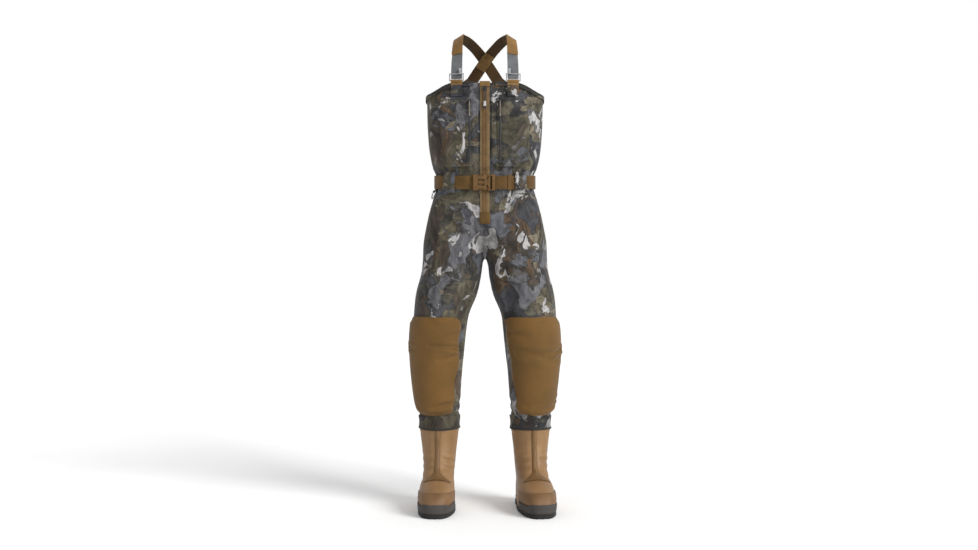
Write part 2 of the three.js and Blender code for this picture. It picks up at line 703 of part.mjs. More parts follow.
// The belt lies on the body but runs straight behind the buckle.
function belt(angle) {
  const p = lifted(body, angle, beltMiddle(angle), BELT_LIFT);
  const x = Math.abs(p.x);
  if (Math.cos(rad(angle)) < 0 || x > BELT_REACH) return p;
  const t = clamp((x - BELT_FLAT) / (BELT_REACH - BELT_FLAT), 0, 1);
  return p.setY(lerp(flatFace, reachFace, t));
}
function beltNormal(angle) {
  const along = belt(angle + 0.5).sub(belt(angle - 0.5)).setZ(0);
  return along.cross(V(0, 0, 1)).normalize();
}
const rightOfBelt = [
  ...[0.05, 8, angleOfX(BELT_FLAT), angleOfX((BELT_FLAT + BELT_REACH) / 2), angleOfX(BELT_REACH)],
  ...[33, 41, 50, 60, 70, 80, 90, 101, 114, 128, 145, 162],
];
const beltAngles = [...rightOfBelt, 180, ...rightOfBelt.map((a) => 360 - a).reverse()];
const beltGrid = (out) =>
  beltAngles.map((a) => {
    const p = belt(a).addScaledVector(beltNormal(a), out);
    return [-BELT_HEIGHT / 2, BELT_HEIGHT / 2].map((h) => V(p.x, p.y, p.z + h));
  });
add("belt_webbing", slab(beltGrid(WEBBING), beltGrid(0)), "webbing");

// Buckle: the female half holds two plates; the male half's tongue and prongs slide between.
const webFace = flatFace - WEBBING;
const PLATE = 2.2;
const POCKET_DEPTH = 4.6;
const backPlate = webFace - GAP;
const frontPlate = backPlate - 2 - POCKET_DEPTH;
const MOUTH_X = 6;
const halfBuckle = BUCKLE_HEIGHT / 2;
const plate = (x0, x1, y0, y1, half) => box(x0, x1, y0, y1, frontZ - half, frontZ + half);
const notch = (z0, z1) => box(-20, -6, frontPlate - PLATE - 1, frontPlate + 0.5, z0, z1);
add(
  "buckle_female",
  carve(
    [
      plate(-BUCKLE_LEFT, MOUTH_X, backPlate - 2, backPlate, halfBuckle - 2),
      plate(-BUCKLE_LEFT, MOUTH_X, frontPlate - PLATE, frontPlate, halfBuckle - 1),
      plate(-BUCKLE_LEFT, -BUCKLE_LEFT + 9, frontPlate - PLATE, backPlate, halfBuckle),
    ],
    [
      plate(-22, -1, frontPlate - PLATE - 1, frontPlate + 0.5, PRONG_Z - 6),
      notch(frontZ + PRONG_Z + 2, frontZ + halfBuckle + 5),
      notch(frontZ - halfBuckle - 5, frontZ - PRONG_Z - 2),
    ],
  ),
  "plastic",
);
const innerBack = backPlate - 2 - GAP;
const innerFront = frontPlate + GAP;
const cheekBack = flatFace + 2;
const cheek = (s) => {
  const z0 = frontZ + s * (BELT_HEIGHT / 2 + 0.6);
  const z1 = frontZ + s * halfBuckle;
  return box(23, BUCKLE_RIGHT, frontPlate - PLATE, cheekBack, Math.min(z0, z1), Math.max(z0, z1));
};
const prongHole = (s) => {
  const hole = new THREE.CylinderGeometry(3.6, 3.6, 20, 16);
  return hole.translate(PRONG_X, frontPlate, frontZ + s * PRONG_Z);
};
const prongRoom = (s) => {
  const z0 = frontZ + s * (PRONG_Z - 8);
  const z1 = frontZ + s * (halfBuckle + 5);
  return box(0, PRONG_X, frontPlate - 20, flatFace, Math.min(z0, z1), Math.max(z0, z1));
};
add(
  "buckle_male",
  carve(
    [
      plate(MOUTH_X + 0.8, BUCKLE_RIGHT, frontPlate - PLATE, backPlate, halfBuckle),
      plate(-21, MOUTH_X + 2, innerFront, innerBack, 3.5),
      cheek(1),
      cheek(-1),
      plate(24, BUCKLE_RIGHT - 1, flatFace + 0.5, cheekBack, halfBuckle),
    ],
    [
      plate(17, 23, frontPlate - 20, backPlate + 1, BELT_HEIGHT / 2 + 0.6),
      prongHole(1),
      prongHole(-1),
      prongRoom(1),
      prongRoom(-1),
    ],
  ),
  "plastic",
);
for (const [side, s] of [
  ["upper", 1],
  ["lower", -1],
]) {
  const root = new THREE.CylinderGeometry(3.2, 3.2, innerBack - innerFront, 14);
  const z = frontZ + s * PRONG_Z;
  const pad = frontZ + s * (PRONG_Z + 5.5);
  const arm = (x0, x1, za, zb) =>
    box(x0, x1, innerFront, innerBack, Math.min(za, zb), Math.max(za, zb));
  add(
    `buckle_prong_${side}`,
    carve([
      root.translate(PRONG_X, (innerFront + innerBack) / 2, z),
      arm(-21, PRONG_X, z - 2, z + 2),
      arm(-19, -8, z, pad),
    ]),
    "plastic",
  );
}

// The keeper is a flat ring round the belt.
const keeperAngle = angleOfX(KEEPER_X - 4);
const keeperAt = belt(keeperAngle).addScaledVector(beltNormal(keeperAngle), WEBBING / 2);
const keeperNormal = beltNormal(keeperAngle);
const KEEPER_ROOM = 1;
const keeper = add(
  "belt_keeper",
  carve(
    [box(-6, 6, -WEBBING / 2 - 2.6, WEBBING / 2 + 2.6, -BELT_HEIGHT / 2 - 3, BELT_HEIGHT / 2 + 3)],
    [
      box(
        -7,
        7,
        -WEBBING / 2 - KEEPER_ROOM,
        WEBBING / 2 + KEEPER_ROOM,
        -BELT_HEIGHT / 2 - 1.2,
        BELT_HEIGHT / 2 + 1.2,
      ),
    ],
  ),
  "webbing",
);
keeper.position.copy(keeperAt);
keeper.rotation.z = Math.atan2(keeperNormal.x, -keeperNormal.y);

// Belt loops are sewn above and below the belt and bow out over it.
const LOOP_OUT = BELT_LIFT + WEBBING + 1.7;
const loopReach = [13, 7, 3, -1].map((past) => BELT_HEIGHT / 2 + past);
const loopRise = [...loopReach.map((h) => -h), ...loopReach.reverse()];
const loopLift = [0, 0, 0.45, 1, 1, 0.45, 0, 0];
function beltLoop(angles) {
  const rows = (a) => loopRise.map((h) => beltMiddle(a) + h);
  const lift = (extra) => (a, j) => lerp(5 * GAP, LOOP_OUT, loopLift[j]) + extra;
  return sheet(body, angles, rows, lift(0), lift(TRIM + 0.5));
}
const loopAngles = steps(-LOOP_WIDTH / 2, LOOP_WIDTH / 2, 5).map((x) => angleOfX(LOOP_X + x));
add("belt_loop_right", beltLoop(loopAngles), "camo");
add("belt_loop_left", beltLoop(loopAngles.map((a) => -a)), "camo");
add("belt_loop_back", beltLoop(steps(171, 189, 3)), "camo");

// ---- Ring tab: a doubled webbing strip whose lower fold holds a steel ring ------------
const TAB_ANGLE = -72;
const TAB_Z = BELT_Z - BELT_HEIGHT / 2 - 13;
const TAB_WIDTH = 20;
const RING_WIRE = 1.9;
const FOLD = 3.6;
// Stands a mesh drawn with -Y outwards and +Z up at a point, facing the outward normal.
function place(mesh, at, outward) {
  const side = V(-outward.y, outward.x, 0).normalize();
  const inward = outward.clone().negate();
  const turn = new THREE.Matrix4().makeBasis(side, inward, side.clone().cross(inward));
  mesh.quaternion.setFromRotationMatrix(turn);
  mesh.position.copy(at);
}
function normalOf(surface, u, v) {
  return lifted(surface, u, v, 1).sub(surface(u, v)).normalize();
}
const tabAt = body(TAB_ANGLE, TAB_Z);
const tabNormal = normalOf(body, TAB_ANGLE, TAB_Z - 9);
// Local y runs inwards, so the fold's centre stands off the cloth at negative y.
const foldY = -GAP - 0.9 - FOLD;
function foldOutline(length, direction) {
  const outline = [];
  for (let a = 0; a <= 180; a += 15) {
    const turn = rad(a);
    outline.push(
      new THREE.Vector2(foldY + FOLD * Math.cos(turn), direction * -FOLD * Math.sin(turn)),
    );
  }
  outline.push(
    new THREE.Vector2(foldY - FOLD + 0.3, direction * 3),
    new THREE.Vector2(foldY + FOLD - 2.2, direction * (FOLD + 3)),
    new THREE.Vector2(foldY + FOLD - 2.2, direction * length),
    new THREE.Vector2(foldY + FOLD, direction * length),
  );
  return direction > 0 ? outline : outline.reverse();
}
const tab = add(
  "ring_tab",
  carve(
    [profile(foldOutline(9, 1), -TAB_WIDTH / 2, TAB_WIDTH / 2)],
    [bar(RING_WIRE + GAP, -20, 20, foldY, 0, 14)],
  ),
  "dark",
);
place(tab, tabAt, tabNormal);

const ringPath = new THREE.CatmullRomCurve3(
  [
    [-13, 0],
    [-6, 0],
    [6, 0],
    [13, 0],
    [16.5, -5],
    [14.5, -14],
    [8, -22],
    [0, -25],
    [-8, -22],
    [-14.5, -14],
    [-16.5, -5],
  ].map(([x, z]) => V(x, foldY, z)),
  true,
  "centripetal",
);
const ring = add("ring", new THREE.TubeGeometry(ringPath, 28, RING_WIRE, 8, true), "metal");
place(ring, tabAt, tabNormal);

// ---- Braces ------------------------------------------------------------------------
// Each brace rises from the bib on one arc and falls behind the shoulder on another.
const ANCHOR_Z = BIB_TOP_Z + 4.5; // the bar each brace frame hangs on
const frontRise = SHOULDER_Z - ANCHOR_Z - 6;
const anchorAt = (sign) => front(sign * BRACE_X, BIB_TOP_Z - 20).setZ(ANCHOR_Z);
const anchorNormal = (sign) => normalOf(front, sign * BRACE_X, BIB_TOP_Z - 20);
// An anchor's flat back lies GAP off the binding.
const ANCHOR_LIFT = TRIM + 2 * GAP + foldY + FOLD;
// The strap's middle, out from the cloth, where it passes behind the frame.
const STRAP_LIFT = ANCHOR_LIFT - foldY - FRAME_WIRE / 2 - GAP - WEBBING / 2;
const shoulderNormal = (sign) => V(sign * 0.51, 0, 0.86);

function frontStation(sign, angle) {
  const foot = anchorAt(sign).addScaledVector(anchorNormal(sign), STRAP_LIFT);
  const c = Math.cos(rad(angle));
  const s = Math.sin(rad(angle));
  const t = angle / 90;
  const point = V(
    lerp(foot.x, sign * BRACE_TOP_X, t * t * (3 - 2 * t)),
    BRACE_ARC_Y - (BRACE_ARC_Y - foot.y) * c,
    foot.z + 6 + frontRise * s,
  );
  // It stays square to the frame at first, and turns over the shoulder higher up.
  const level = anchorNormal(sign).multiplyScalar(c);
  const over = s * Math.min(1, angle / 40);
  return { point, normal: level.addScaledVector(shoulderNormal(sign), over).normalize() };
}

const BACK_FLOOR_Z = BIB_TOP_Z + 32;
const backFall = SHOULDER_Z - BACK_FLOOR_Z;
const CROSS_ANGLE = 56;
const crossSide = BRACE_BACK_REACH * Math.cos(rad(CROSS_ANGLE));
const crossFall = backFall * Math.sin(rad(CROSS_ANGLE));
const crossRadius = Math.hypot(crossSide, crossFall) ** 3 / (BRACE_BACK_REACH * backFall);
// Each brace lies this far off the shared surface at the cross: a wider strap, or a
// rounder back, lifts its edges further.
const CROSS_GAP = WEBBING / 2 + GAP / 2 + (0.05 * BRACE_WIDTH ** 2) / crossRadius;
const LAP_LIFT = 2.7; // webbing over elastic where the two are sewn together
function backStation(sign, angle) {
  const c = Math.cos(rad(angle));
  const s = Math.sin(rad(angle));
  const point = V(
    sign * BRACE_TOP_X * (1 - angle / CROSS_ANGLE),
    BRACE_ARC_Y + BRACE_BACK_REACH * s,
    BACK_FLOOR_Z + backFall * c,
  );
  const flat = clamp(angle / 40, 0, 1);
  const tilt = lerp(0.51, 0, flat * flat * (3 - 2 * flat));
  const normal = V(sign * tilt, (s * backFall) / BRACE_BACK_REACH, c).normalize();
  return { point, normal };
}

// Below the cross each brace runs down to its sewn end on the outside of the back.
const BACK_END_Z = BIB_TOP_Z - 103;
const BACK_EDGE_Z = BIB_TOP_Z - BIB_BACK_DROP + 6;
function backPanelStation(sign, z, out) {
  const angle = lerp(136, 131, (BACK_EDGE_Z - z) / 50);
  const at = lifted(body, sign * -angle, z, out);
  return { point: at, normal: normalOf(body, sign * -angle, z) };
}
// It lies on the binding at the edge and on the panel's cloth below it.
const sewnLift = (z) => lerp(GAP, 2 * GAP + TRIM, clamp((z - BACK_EDGE_Z + 42) / 12, 0, 1));

for (const [side, sign] of [
  ["left", -1],
  ["right", 1],
]) {
  const elastic = [-2.2, 0, ...steps(4, 36, 6)].map((a) => {
    if (a >= 0) return frontStation(sign, a);
    const low = frontStation(sign, 0);
    return { point: low.point.clone().setZ(ANCHOR_Z + 5), normal: low.normal };
  });
  add(`brace_elastic_${side}`, ribbon(elastic, BRACE_WIDTH - 2, -1, WEBBING), "elastic");

  const nearer = sign > 0 ? -CROSS_GAP : CROSS_GAP;
  const shift = (station, out) => ({
    point: station.point.clone().addScaledVector(station.normal, out),
    normal: station.normal,
  });
  const crossReach = BRACE_WIDTH - 13;
  const crossShare = (a) => clamp(1 - (Math.abs(a - CROSS_ANGLE) - crossReach) / 14, 0, 1);
  const over = [32, 34, 36, ...steps(42, 90, 6)].map((a) =>
    shift(frontStation(sign, a), LAP_LIFT),
  );
  const down = steps(8, 88, 10).map((a) =>
    shift(backStation(sign, a), lerp(LAP_LIFT, nearer, crossShare(a))),
  );
  const sewn = steps(BACK_EDGE_Z + 19, BACK_END_Z, 6).map((z) =>
    backPanelStation(sign, z, sewnLift(z) + WEBBING / 2),
  );
  add(`brace_webbing_${side}`, ribbon([...over, ...down, ...sewn], BRACE_WIDTH, -1, WEBBING), "webbing");
}

// A stitched patch holds the two braces where they cross; it lies along the nearer one.
const patchStations = [-12, -8, 0, 8, 12].map((a) => {
  const { point, normal } = backStation(1, CROSS_ANGLE + a);
  return { point: point.addScaledVector(normal, -CROSS_GAP), normal };
});
add("brace_cross_patch", ribbon(patchStations, BRACE_WIDTH - 1, -1.5 - TRIM, TRIM), "tan");

// Anchor loops hold the brace frames on the bib; each frame carries a small hinged catch.
const anchorHalf = (BRACE_WIDTH - 1) / 2;
const CATCH_X = 13;
const CATCH_WIDTH = 10;
for (const [side, sign] of [
  ["left", -1],
  ["right", 1],
]) {
  const at = anchorAt(sign);
  const outward = anchorNormal(sign);
  at.addScaledVector(outward, ANCHOR_LIFT);
  const inX = -sign * CATCH_X;
  const half = FRAME_WIDTH / 2;
  const wire = FRAME_WIRE / 2;

  const anchor = add(
    `brace_anchor_${side}`,
    carve(
      [profile(foldOutline(48, -1), -anchorHalf, anchorHalf)],
      [bar(RING_WIRE + GAP, -30, 30, foldY, 0, 14)],
    ),
    "tape",
  );
  place(anchor, at, outward);

  const catchZ = FRAME_HEIGHT - FRAME_WIRE;
  const catchY = foldY - wire - 3;
  const ear = (x) => box(x - 0.9, x + 0.9, catchY - 1.6, foldY, catchZ - 1.8, catchZ + 1.8);
  const frame = add(
    `brace_frame_${side}`,
    carve(
      [
        box(-half, half, foldY - wire, foldY + wire, -wire, catchZ + wire),
        ear(inX - CATCH_WIDTH / 2 - 1.4),
        ear(inX + CATCH_WIDTH / 2 + 1.4),
      ],
      [box(FRAME_WIRE - half, half - FRAME_WIRE, foldY - 5, foldY + 5, wire, catchZ - wire)],
    ),
    "metal",
  );
  place(frame, at, outward);

  const catchPiece = add(
    `brace_catch_${side}`,
    carve([
      bar(1.3, inX - CATCH_WIDTH / 2 + 0.1, inX + CATCH_WIDTH / 2 - 0.1, catchY, catchZ, 12),
      box(inX - 3.5, inX + 3.5, catchY - 1.1, catchY + 1.1, catchZ, catchZ + 15),
      bar(2.6, inX - 4.5, inX + 4.5, catchY, catchZ + 15, 12),
    ]),
    "metal",
  );
  place(catchPiece, at, outward);
}

export default waders;
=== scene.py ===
# %% [markdown]
# # Chest waders
# Waders are trousers and a bib in one, with rubber boots joined to the ankles. This lesson
# makes them around a fixed frame, which says where every part is and how it moves. The soft
# shell is one skin that is simulated as cloth; straps, boots and fittings are modelled
# directly. Sizes are worked out in millimetres and turned to metres at the end.

import math

import bmesh
import bpy
from mathutils import Matrix, Vector
from mathutils.bvhtree import BVHTree


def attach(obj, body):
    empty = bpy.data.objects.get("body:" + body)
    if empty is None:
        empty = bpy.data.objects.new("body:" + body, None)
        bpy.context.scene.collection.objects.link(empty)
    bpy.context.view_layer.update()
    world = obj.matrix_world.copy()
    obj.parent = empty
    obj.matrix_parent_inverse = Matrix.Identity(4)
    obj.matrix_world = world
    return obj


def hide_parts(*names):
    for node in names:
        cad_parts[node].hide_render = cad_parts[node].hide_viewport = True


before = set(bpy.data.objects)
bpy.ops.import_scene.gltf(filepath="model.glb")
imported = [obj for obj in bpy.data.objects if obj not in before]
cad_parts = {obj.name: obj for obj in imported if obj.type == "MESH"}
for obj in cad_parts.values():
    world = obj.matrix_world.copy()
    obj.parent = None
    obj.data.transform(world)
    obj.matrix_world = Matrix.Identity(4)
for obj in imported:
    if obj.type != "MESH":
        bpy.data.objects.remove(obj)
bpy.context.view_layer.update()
scene = bpy.context.scene
MM = 0.001
SIDES = (("left", -1), ("right", 1))

# %% [markdown]
# The camera stands 3.7 m in front at chest-to-knee height and looks level, so upright lines
# stay upright. It is placed first, because everything else is judged through it.

# %% Camera
lens = bpy.data.cameras.new("camera")
lens.lens = 42.56
lens.sensor_width = 36
camera = bpy.data.objects.new("camera", lens)
camera.location = (0.013, -3.7, 0.748)
camera.rotation_euler = (math.pi / 2, 0, 0)
scene.collection.objects.link(camera)
scene.camera = camera
print("camera", tuple(round(v, 3) for v in camera.location))

# %% [markdown]
# The light is a plain studio. The surround is white behind the waders and greyer in front of
# them, so it fills the shadows without flattening the folds. One broad, distant lamp high on
# the right models the cloth and lays soft shadows on the matte white floor.

# %% Colours from hex codes
def linear(code):
    """An sRGB hex colour as linear RGBA, which is what shader sockets expect."""
    parts = [int(code[i : i + 2], 16) / 255 for i in (1, 3, 5)]
    return (*[c / 12.92 if c <= 0.04045 else ((c + 0.055) / 1.055) ** 2.4 for c in parts], 1)


print("mid grey is", round(linear("#808080")[0], 3), "in linear light")

# %% [markdown]
# Every material is a small graph of nodes. One function adds a node with all that belongs to
# it, so that a material reads as a list of its layers.

# %% Nodes and materials
def node(tree, kind, links=(), stops=(), out=None, **settings):
    """Adds a node; returns it, or the one output that is asked for. A link is (input, what):
    a socket is joined, and a number, a vector or a hex colour is set. stops are the places
    and the colours (or greys) of a colour ramp."""
    made = tree.nodes.new("ShaderNode" + kind)
    for key, value in settings.items():
        name = key.replace("_", " ").lower()
        socket = next((s for s in made.inputs if s.name.lower() == name), None)
        if hasattr(made, key):
            setattr(made, key, value)
        else:
            socket.default_value = value
    for slot, what in links:
        if isinstance(what, bpy.types.NodeSocket):
            tree.links.new(what, made.inputs[slot])
        else:
            made.inputs[slot].default_value = linear(what) if isinstance(what, str) else what
    for extra in stops[2:]:  # a new colour ramp has two stops already
        made.color_ramp.elements.new(0.5)
    for i, (place, colour) in enumerate(stops):
        stop = made.color_ramp.elements[i]
        stop.position = place
        stop.color = linear(colour) if isinstance(colour, str) else (colour,) * 3 + (1,)
    return made if out is None else made.outputs[out]


def finish_of(name, rough=0.7, metal=0.0, sheen=0.0, specular=0.5):
    """A new material with its output joined; returns it, its tree and its main shader."""
    material = bpy.data.materials.new(name)
    material.use_nodes = True
    tree = material.node_tree
    shader = next(n for n in tree.nodes if n.type == "BSDF_PRINCIPLED")
    shader.inputs["Roughness"].default_value = rough
    shader.inputs["Metallic"].default_value = metal
    shader.inputs["Sheen Weight"].default_value = sheen
    shader.inputs["Specular IOR Level"].default_value = specular
    return material, tree, shader


def per(size_mm):
    """The noise scale whose features are about this many millimetres across."""
    return 1000 / size_mm


print("a 2 mm pattern has scale", per(2))


# %% Surround, lamps and floor
world = bpy.data.worlds.new("studio")
world.use_nodes = True
surround = world.node_tree.nodes["Background"]
heading = node(world.node_tree, "TexCoord", out="Generated")
depth = node(world.node_tree, "SeparateXYZ", [(0, heading)], out="Y")
white = node(
    world.node_tree, "ValToRGB", [("Fac", depth)], [(0.5, 0.6), (0.85, 1.0)], out="Color"
)
world.node_tree.links.new(white, surround.inputs["Color"])
surround.inputs["Strength"].default_value = 1.0
scene.world = world
scene.view_settings.view_transform = "Standard"

for name, kind, place, power, size in (
    ("key_lamp", "SUN", (2.8, -2.3, 2.6), 3.0, math.radians(30)),
    ("low_fill", "AREA", (-2.2, -2.4, 0.9), 4, 1.6),
):
    lamp = bpy.data.lights.new(name, kind)
    setattr(lamp, "angle" if kind == "SUN" else "size", size)
    lamp.energy = power
    holder = bpy.data.objects.new(name, lamp)
    holder.location = place
    aim = Vector((0, 0, 0.7)) - Vector(place)
    holder.rotation_euler = aim.to_track_quat("-Z", "Y").to_euler()
    scene.collection.objects.link(holder)

FLOOR_HALF = 30  # metres, so that its far edge is never seen from the front
ground = bmesh.new()
bmesh.ops.create_grid(ground, x_segments=4, y_segments=4, size=FLOOR_HALF)
floor_mesh = bpy.data.meshes.new("floor")
ground.to_mesh(floor_mesh)
ground.free()
floor = bpy.data.objects.new("floor", floor_mesh)
scene.collection.objects.link(floor)
# Rolled cotton paper: no gloss at all, and only the faintest cloudiness in its white.
paper, tree, shader = finish_of("matte white studio paper", rough=0.95, specular=0.1)
places = node(tree, "TexCoord", out="Object")
grain = node(tree, "TexNoise", [("Vector", places)], out="Fac", Scale=per(400), Detail=2.0)
tone = node(
    tree, "ValToRGB", [("Fac", grain)], [(0.3, "#FCFCFC"), (0.7, "#FEFEFE")], out="Color"
)
tree.links.new(tone, shader.inputs["Base Color"])
floor_mesh.materials.append(paper)
print("studio ready")

# %% [markdown]
# ## The shape that everything lies on
# Four smooth surfaces carry all the pieces: the body, each leg and each boot. A place on one
# is an angle round it and a height. The sizes are those of the frame, in millimetres.

# %% Tables of sizes
WAIST, CROTCH, BIB_TOP, BOOT_TOP = 1043, 828, 1351, 265
HEM, CUFF_TOP, PAD_TOP = 252, 300, 617
CHEST, WAIST_HALF, HIP, DEPTH, BODY_Y = 188, 155.5, 203, 120, 35
KNEE, ANKLE, ANKLE_X, ANKLE_Y = 88, 62.5, 148, 60
EDGE_DROP = 54  # how much lower the bib's edge is behind than in front


def hip_z(t):
    """A height that far of the way up from crotch to waist."""
    return CROTCH + (WAIST - CROTCH) * t


def bib_z(t):
    return WAIST + (BIB_TOP - WAIST) * t


def leg_z(t):
    return CUFF_TOP + (CROTCH - CUFF_TOP) * t


LEG_TOP = (HIP - 1.5) / 2
LEG_X = HIP - LEG_TOP
BODY = [  # height, half width, depth in front, depth behind
    (CROTCH, HIP, DEPTH - 17, DEPTH - 9),
    (hip_z(0.42), 0.93 * HIP, DEPTH - 3, DEPTH + 3),
    (hip_z(0.7), 0.855 * HIP, DEPTH - 4, DEPTH),
    (hip_z(0.9), WAIST_HALF + 3, DEPTH - 7, DEPTH - 7),
    (WAIST, WAIST_HALF, DEPTH - 8, DEPTH - 9),
    (bib_z(0.1), WAIST_HALF + 1, DEPTH - 6, DEPTH - 8),
    (bib_z(0.15), WAIST_HALF + 0.4 * (CHEST - WAIST_HALF), DEPTH, DEPTH - 4),
    (bib_z(0.34), 0.96 * CHEST, DEPTH, DEPTH),
    (bib_z(0.65), CHEST, DEPTH, DEPTH),
    (BIB_TOP, CHEST, DEPTH, DEPTH),
]
LEG = [  # height, middle x, half width, half depth, middle y
    (HEM, ANKLE_X, ANKLE, ANKLE, ANKLE_Y),
    (BOOT_TOP + 6, ANKLE_X, ANKLE, ANKLE, ANKLE_Y),
    (leg_z(0.09), ANKLE_X + 2, 0.83 * KNEE, 0.85 * KNEE, ANKLE_Y),
    (leg_z(0.27), ANKLE_X + 4, 0.93 * KNEE, 0.96 * KNEE, ANKLE_Y - 4),
    (leg_z(0.43), ANKLE_X + 2, KNEE, 1.03 * KNEE, ANKLE_Y - 10),
    (leg_z(0.6), 0.9 * ANKLE_X + 0.1 * LEG_X, 0.97 * KNEE + 5, KNEE + 6, 46),
    (leg_z(0.76), LEG_X + 0.45 * (ANKLE_X - LEG_X), LEG_TOP, LEG_TOP - 2, 42),
    (leg_z(0.88), LEG_X + 6, LEG_TOP - 2, LEG_TOP + 3, 40),
    (CROTCH, LEG_X, LEG_TOP, LEG_TOP + 6, BODY_Y + 4),
]
SHAFT, FOOT, TOE, HEEL = ANKLE - 1, 59, 225, 74
BOOT = [  # height, reach of toe, reach of heel, half width, how foot-like its outline is
    (0, 0.985 * TOE, HEEL - 2, 0.74 * FOOT, 1),
    (45, TOE, HEEL, 0.76 * FOOT, 1),
    (60, 0.965 * TOE, HEEL - 1, 0.76 * FOOT, 1),
    (74, 0.88 * TOE, HEEL - 3, 0.75 * FOOT, 0.95),
    (86, 0.75 * TOE, HEEL - 5, 0.76 * FOOT, 0.8),
    (98, 0.6 * TOE, HEEL - 7, 0.79 * FOOT, 0.55),
    (112, 0.46 * TOE, HEEL - 9, 0.82 * FOOT, 0.3),
    (132, 0.36 * TOE, HEEL - 11, 0.86 * FOOT, 0.1),
    (165, 0.3 * TOE, HEEL - 12, 0.92 * FOOT, 0),
    (205, 0.98 * SHAFT, 0.97 * SHAFT, 0.95 * SHAFT, 0),
    (HEM - 8, SHAFT, SHAFT, SHAFT, 0),
    (BOOT_TOP, SHAFT, SHAFT, SHAFT, 0),
]
print(len(BODY) + len(LEG) + len(BOOT), "rows of sizes")


# %% Reading the tables smoothly
def clamp(x, low=0.0, high=1.0):
    return max(low, min(high, x))


def lerp(a, b, t):
    return a + (b - a) * t


def smooth(x):
    x = clamp(x)
    return x * x * (3 - 2 * x)


def read(rows, at):
    """The row at a height, read along a smooth curve that never overshoots its rows."""
    last = len(rows) - 1
    if at <= rows[0][0]:
        return rows[0][1:]
    if at >= rows[last][0]:
        return rows[last][1:]
    i = next(k for k in range(last) if rows[k + 1][0] >= at)

    def slope(k, c):
        return (rows[k + 1][c] - rows[k][c]) / (rows[k + 1][0] - rows[k][0])

    def tangent(k, c):
        if k in (0, last):
            return 0.0
        a, b = slope(k - 1, c), slope(k, c)
        return 0.0 if a * b <= 0 else 2 * a * b / (a + b)

    span = rows[i + 1][0] - rows[i][0]
    t = (at - rows[i][0]) / span
    return [
        lerp(rows[i][c], rows[i + 1][c], t * t * (3 - 2 * t))
        + t * (1 - t) ** 2 * span * tangent(i, c)
        + t * t * (t - 1) * span * tangent(i + 1, c)
        for c in range(1, len(rows[i]))
    ]


def power(x, p):
    return math.copysign(abs(x) ** p, x)


print("half way up the bib it is", round(2 * read(BODY, bib_z(0.5))[0]), "mm wide")

# %% [markdown]
# The body's section is a rounded oblong that parts into two towards the crotch, so that the
# legs can grow out of it. A leg's section is an ellipse, and a boot's turns from an ellipse at
# the shaft into a foot at the sole.

# %% The surfaces of body, leg and boot
def body(angle, z):
    """The body's outside; 0 degrees is the front middle and 90 the side at +X."""
    half, front_depth, back_depth = read(BODY, z)
    s, c = math.sin(math.radians(angle)), math.cos(math.radians(angle))
    p = 2 / (3 if c > 0 else 2.4)
    x = half * power(s, p)
    off = (abs(x) - half / 2) / (half / 2)
    parted = math.sqrt(max(0, 1 - (0.97 if off < 0 else 1) * off * off))
    part = smooth((hip_z(0.45) - z) / (hip_z(0.45) - CROTCH))
    share = lerp(abs(c) ** p, parted, part)
    return Vector((x, BODY_Y - (front_depth if c > 0 else -back_depth) * share, z))


def angle_at(x, z):
    """The angle round the front of the body at a distance from its middle."""
    half = read(BODY, z)[0]
    return math.degrees(math.asin(math.copysign((min(abs(x), half) / half) ** 1.5, x)))


def front(x, z):
    return body(angle_at(x, z), z)


def leg(sign):
    def at(angle, z):
        x, half, deep, y = read(LEG, z)
        s, c = math.sin(math.radians(angle)), math.cos(math.radians(angle))
        return Vector((sign * x + half * s, y - deep * c, z))

    return at


def boot(sign, grow=0.0):
    """A boot's outside; 0 degrees is the toe. The right boot turns out a little more."""
    turn = sign * math.radians(3 if sign < 0 else 9)

    def at(angle, z):
        toe_reach, heel_reach, half, foot = read(BOOT, z)
        s, c = math.sin(math.radians(angle)), math.cos(math.radians(angle))
        reach = power(c, lerp(1, 0.86, foot))
        along = ((toe_reach if c > 0 else heel_reach) + grow) * reach
        ball = math.sin(math.pi / 2 * min(1, 1.5 * reach)) if reach > 0 else 0
        round_off = abs(s) ** lerp(1, 0.64, foot)
        across = math.copysign(round_off, s) * (half * (1 + 0.38 * foot * ball) + grow)
        across -= sign * 5 * foot * max(0, reach) ** 2
        x = sign * ANKLE_X + across * math.cos(turn) + along * math.sin(turn)
        return Vector((x, ANKLE_Y - along * math.cos(turn) + across * math.sin(turn), z))

    return at


# %% The bib's top edge, and which way a surface faces
EDGE = [(0, 0), (19, 0), (31, 0.14), (47, 0.42), (60, 0.56), (90, 0.66), (180, 1)]


def bib_top(angle):
    """The bib's top edge: level at the front, lower under the arms, lowest behind."""
    return BIB_TOP - EDGE_DROP * read(EDGE, abs((angle + 540) % 360 - 180))[0]


def normal_at(surface, u, v):
    across = surface(u + 0.5, v) - surface(u - 0.5, v)
    up = surface(u, v + 0.5) - surface(u, v - 0.5)
    return across.cross(up).normalized()


print("chest front at", [round(v) for v in front(0, 1200)])

# %% [markdown]
# ## Small tools for making pieces
# `draped` starts from a flat grid and lays it on a surface, which is how a sewn patch or a
# strap is really put on. `rounded` copies a hard fitting from the frame, welds it and rounds
# its edges, because moulded plastic and bent wire never have sharp ones. Both end with the
# object at the origin, riding on its body.

# %% Finishing a mesh
def welded(bm, distance=0.02):
    bmesh.ops.remove_doubles(bm, verts=bm.verts, dist=distance * MM)


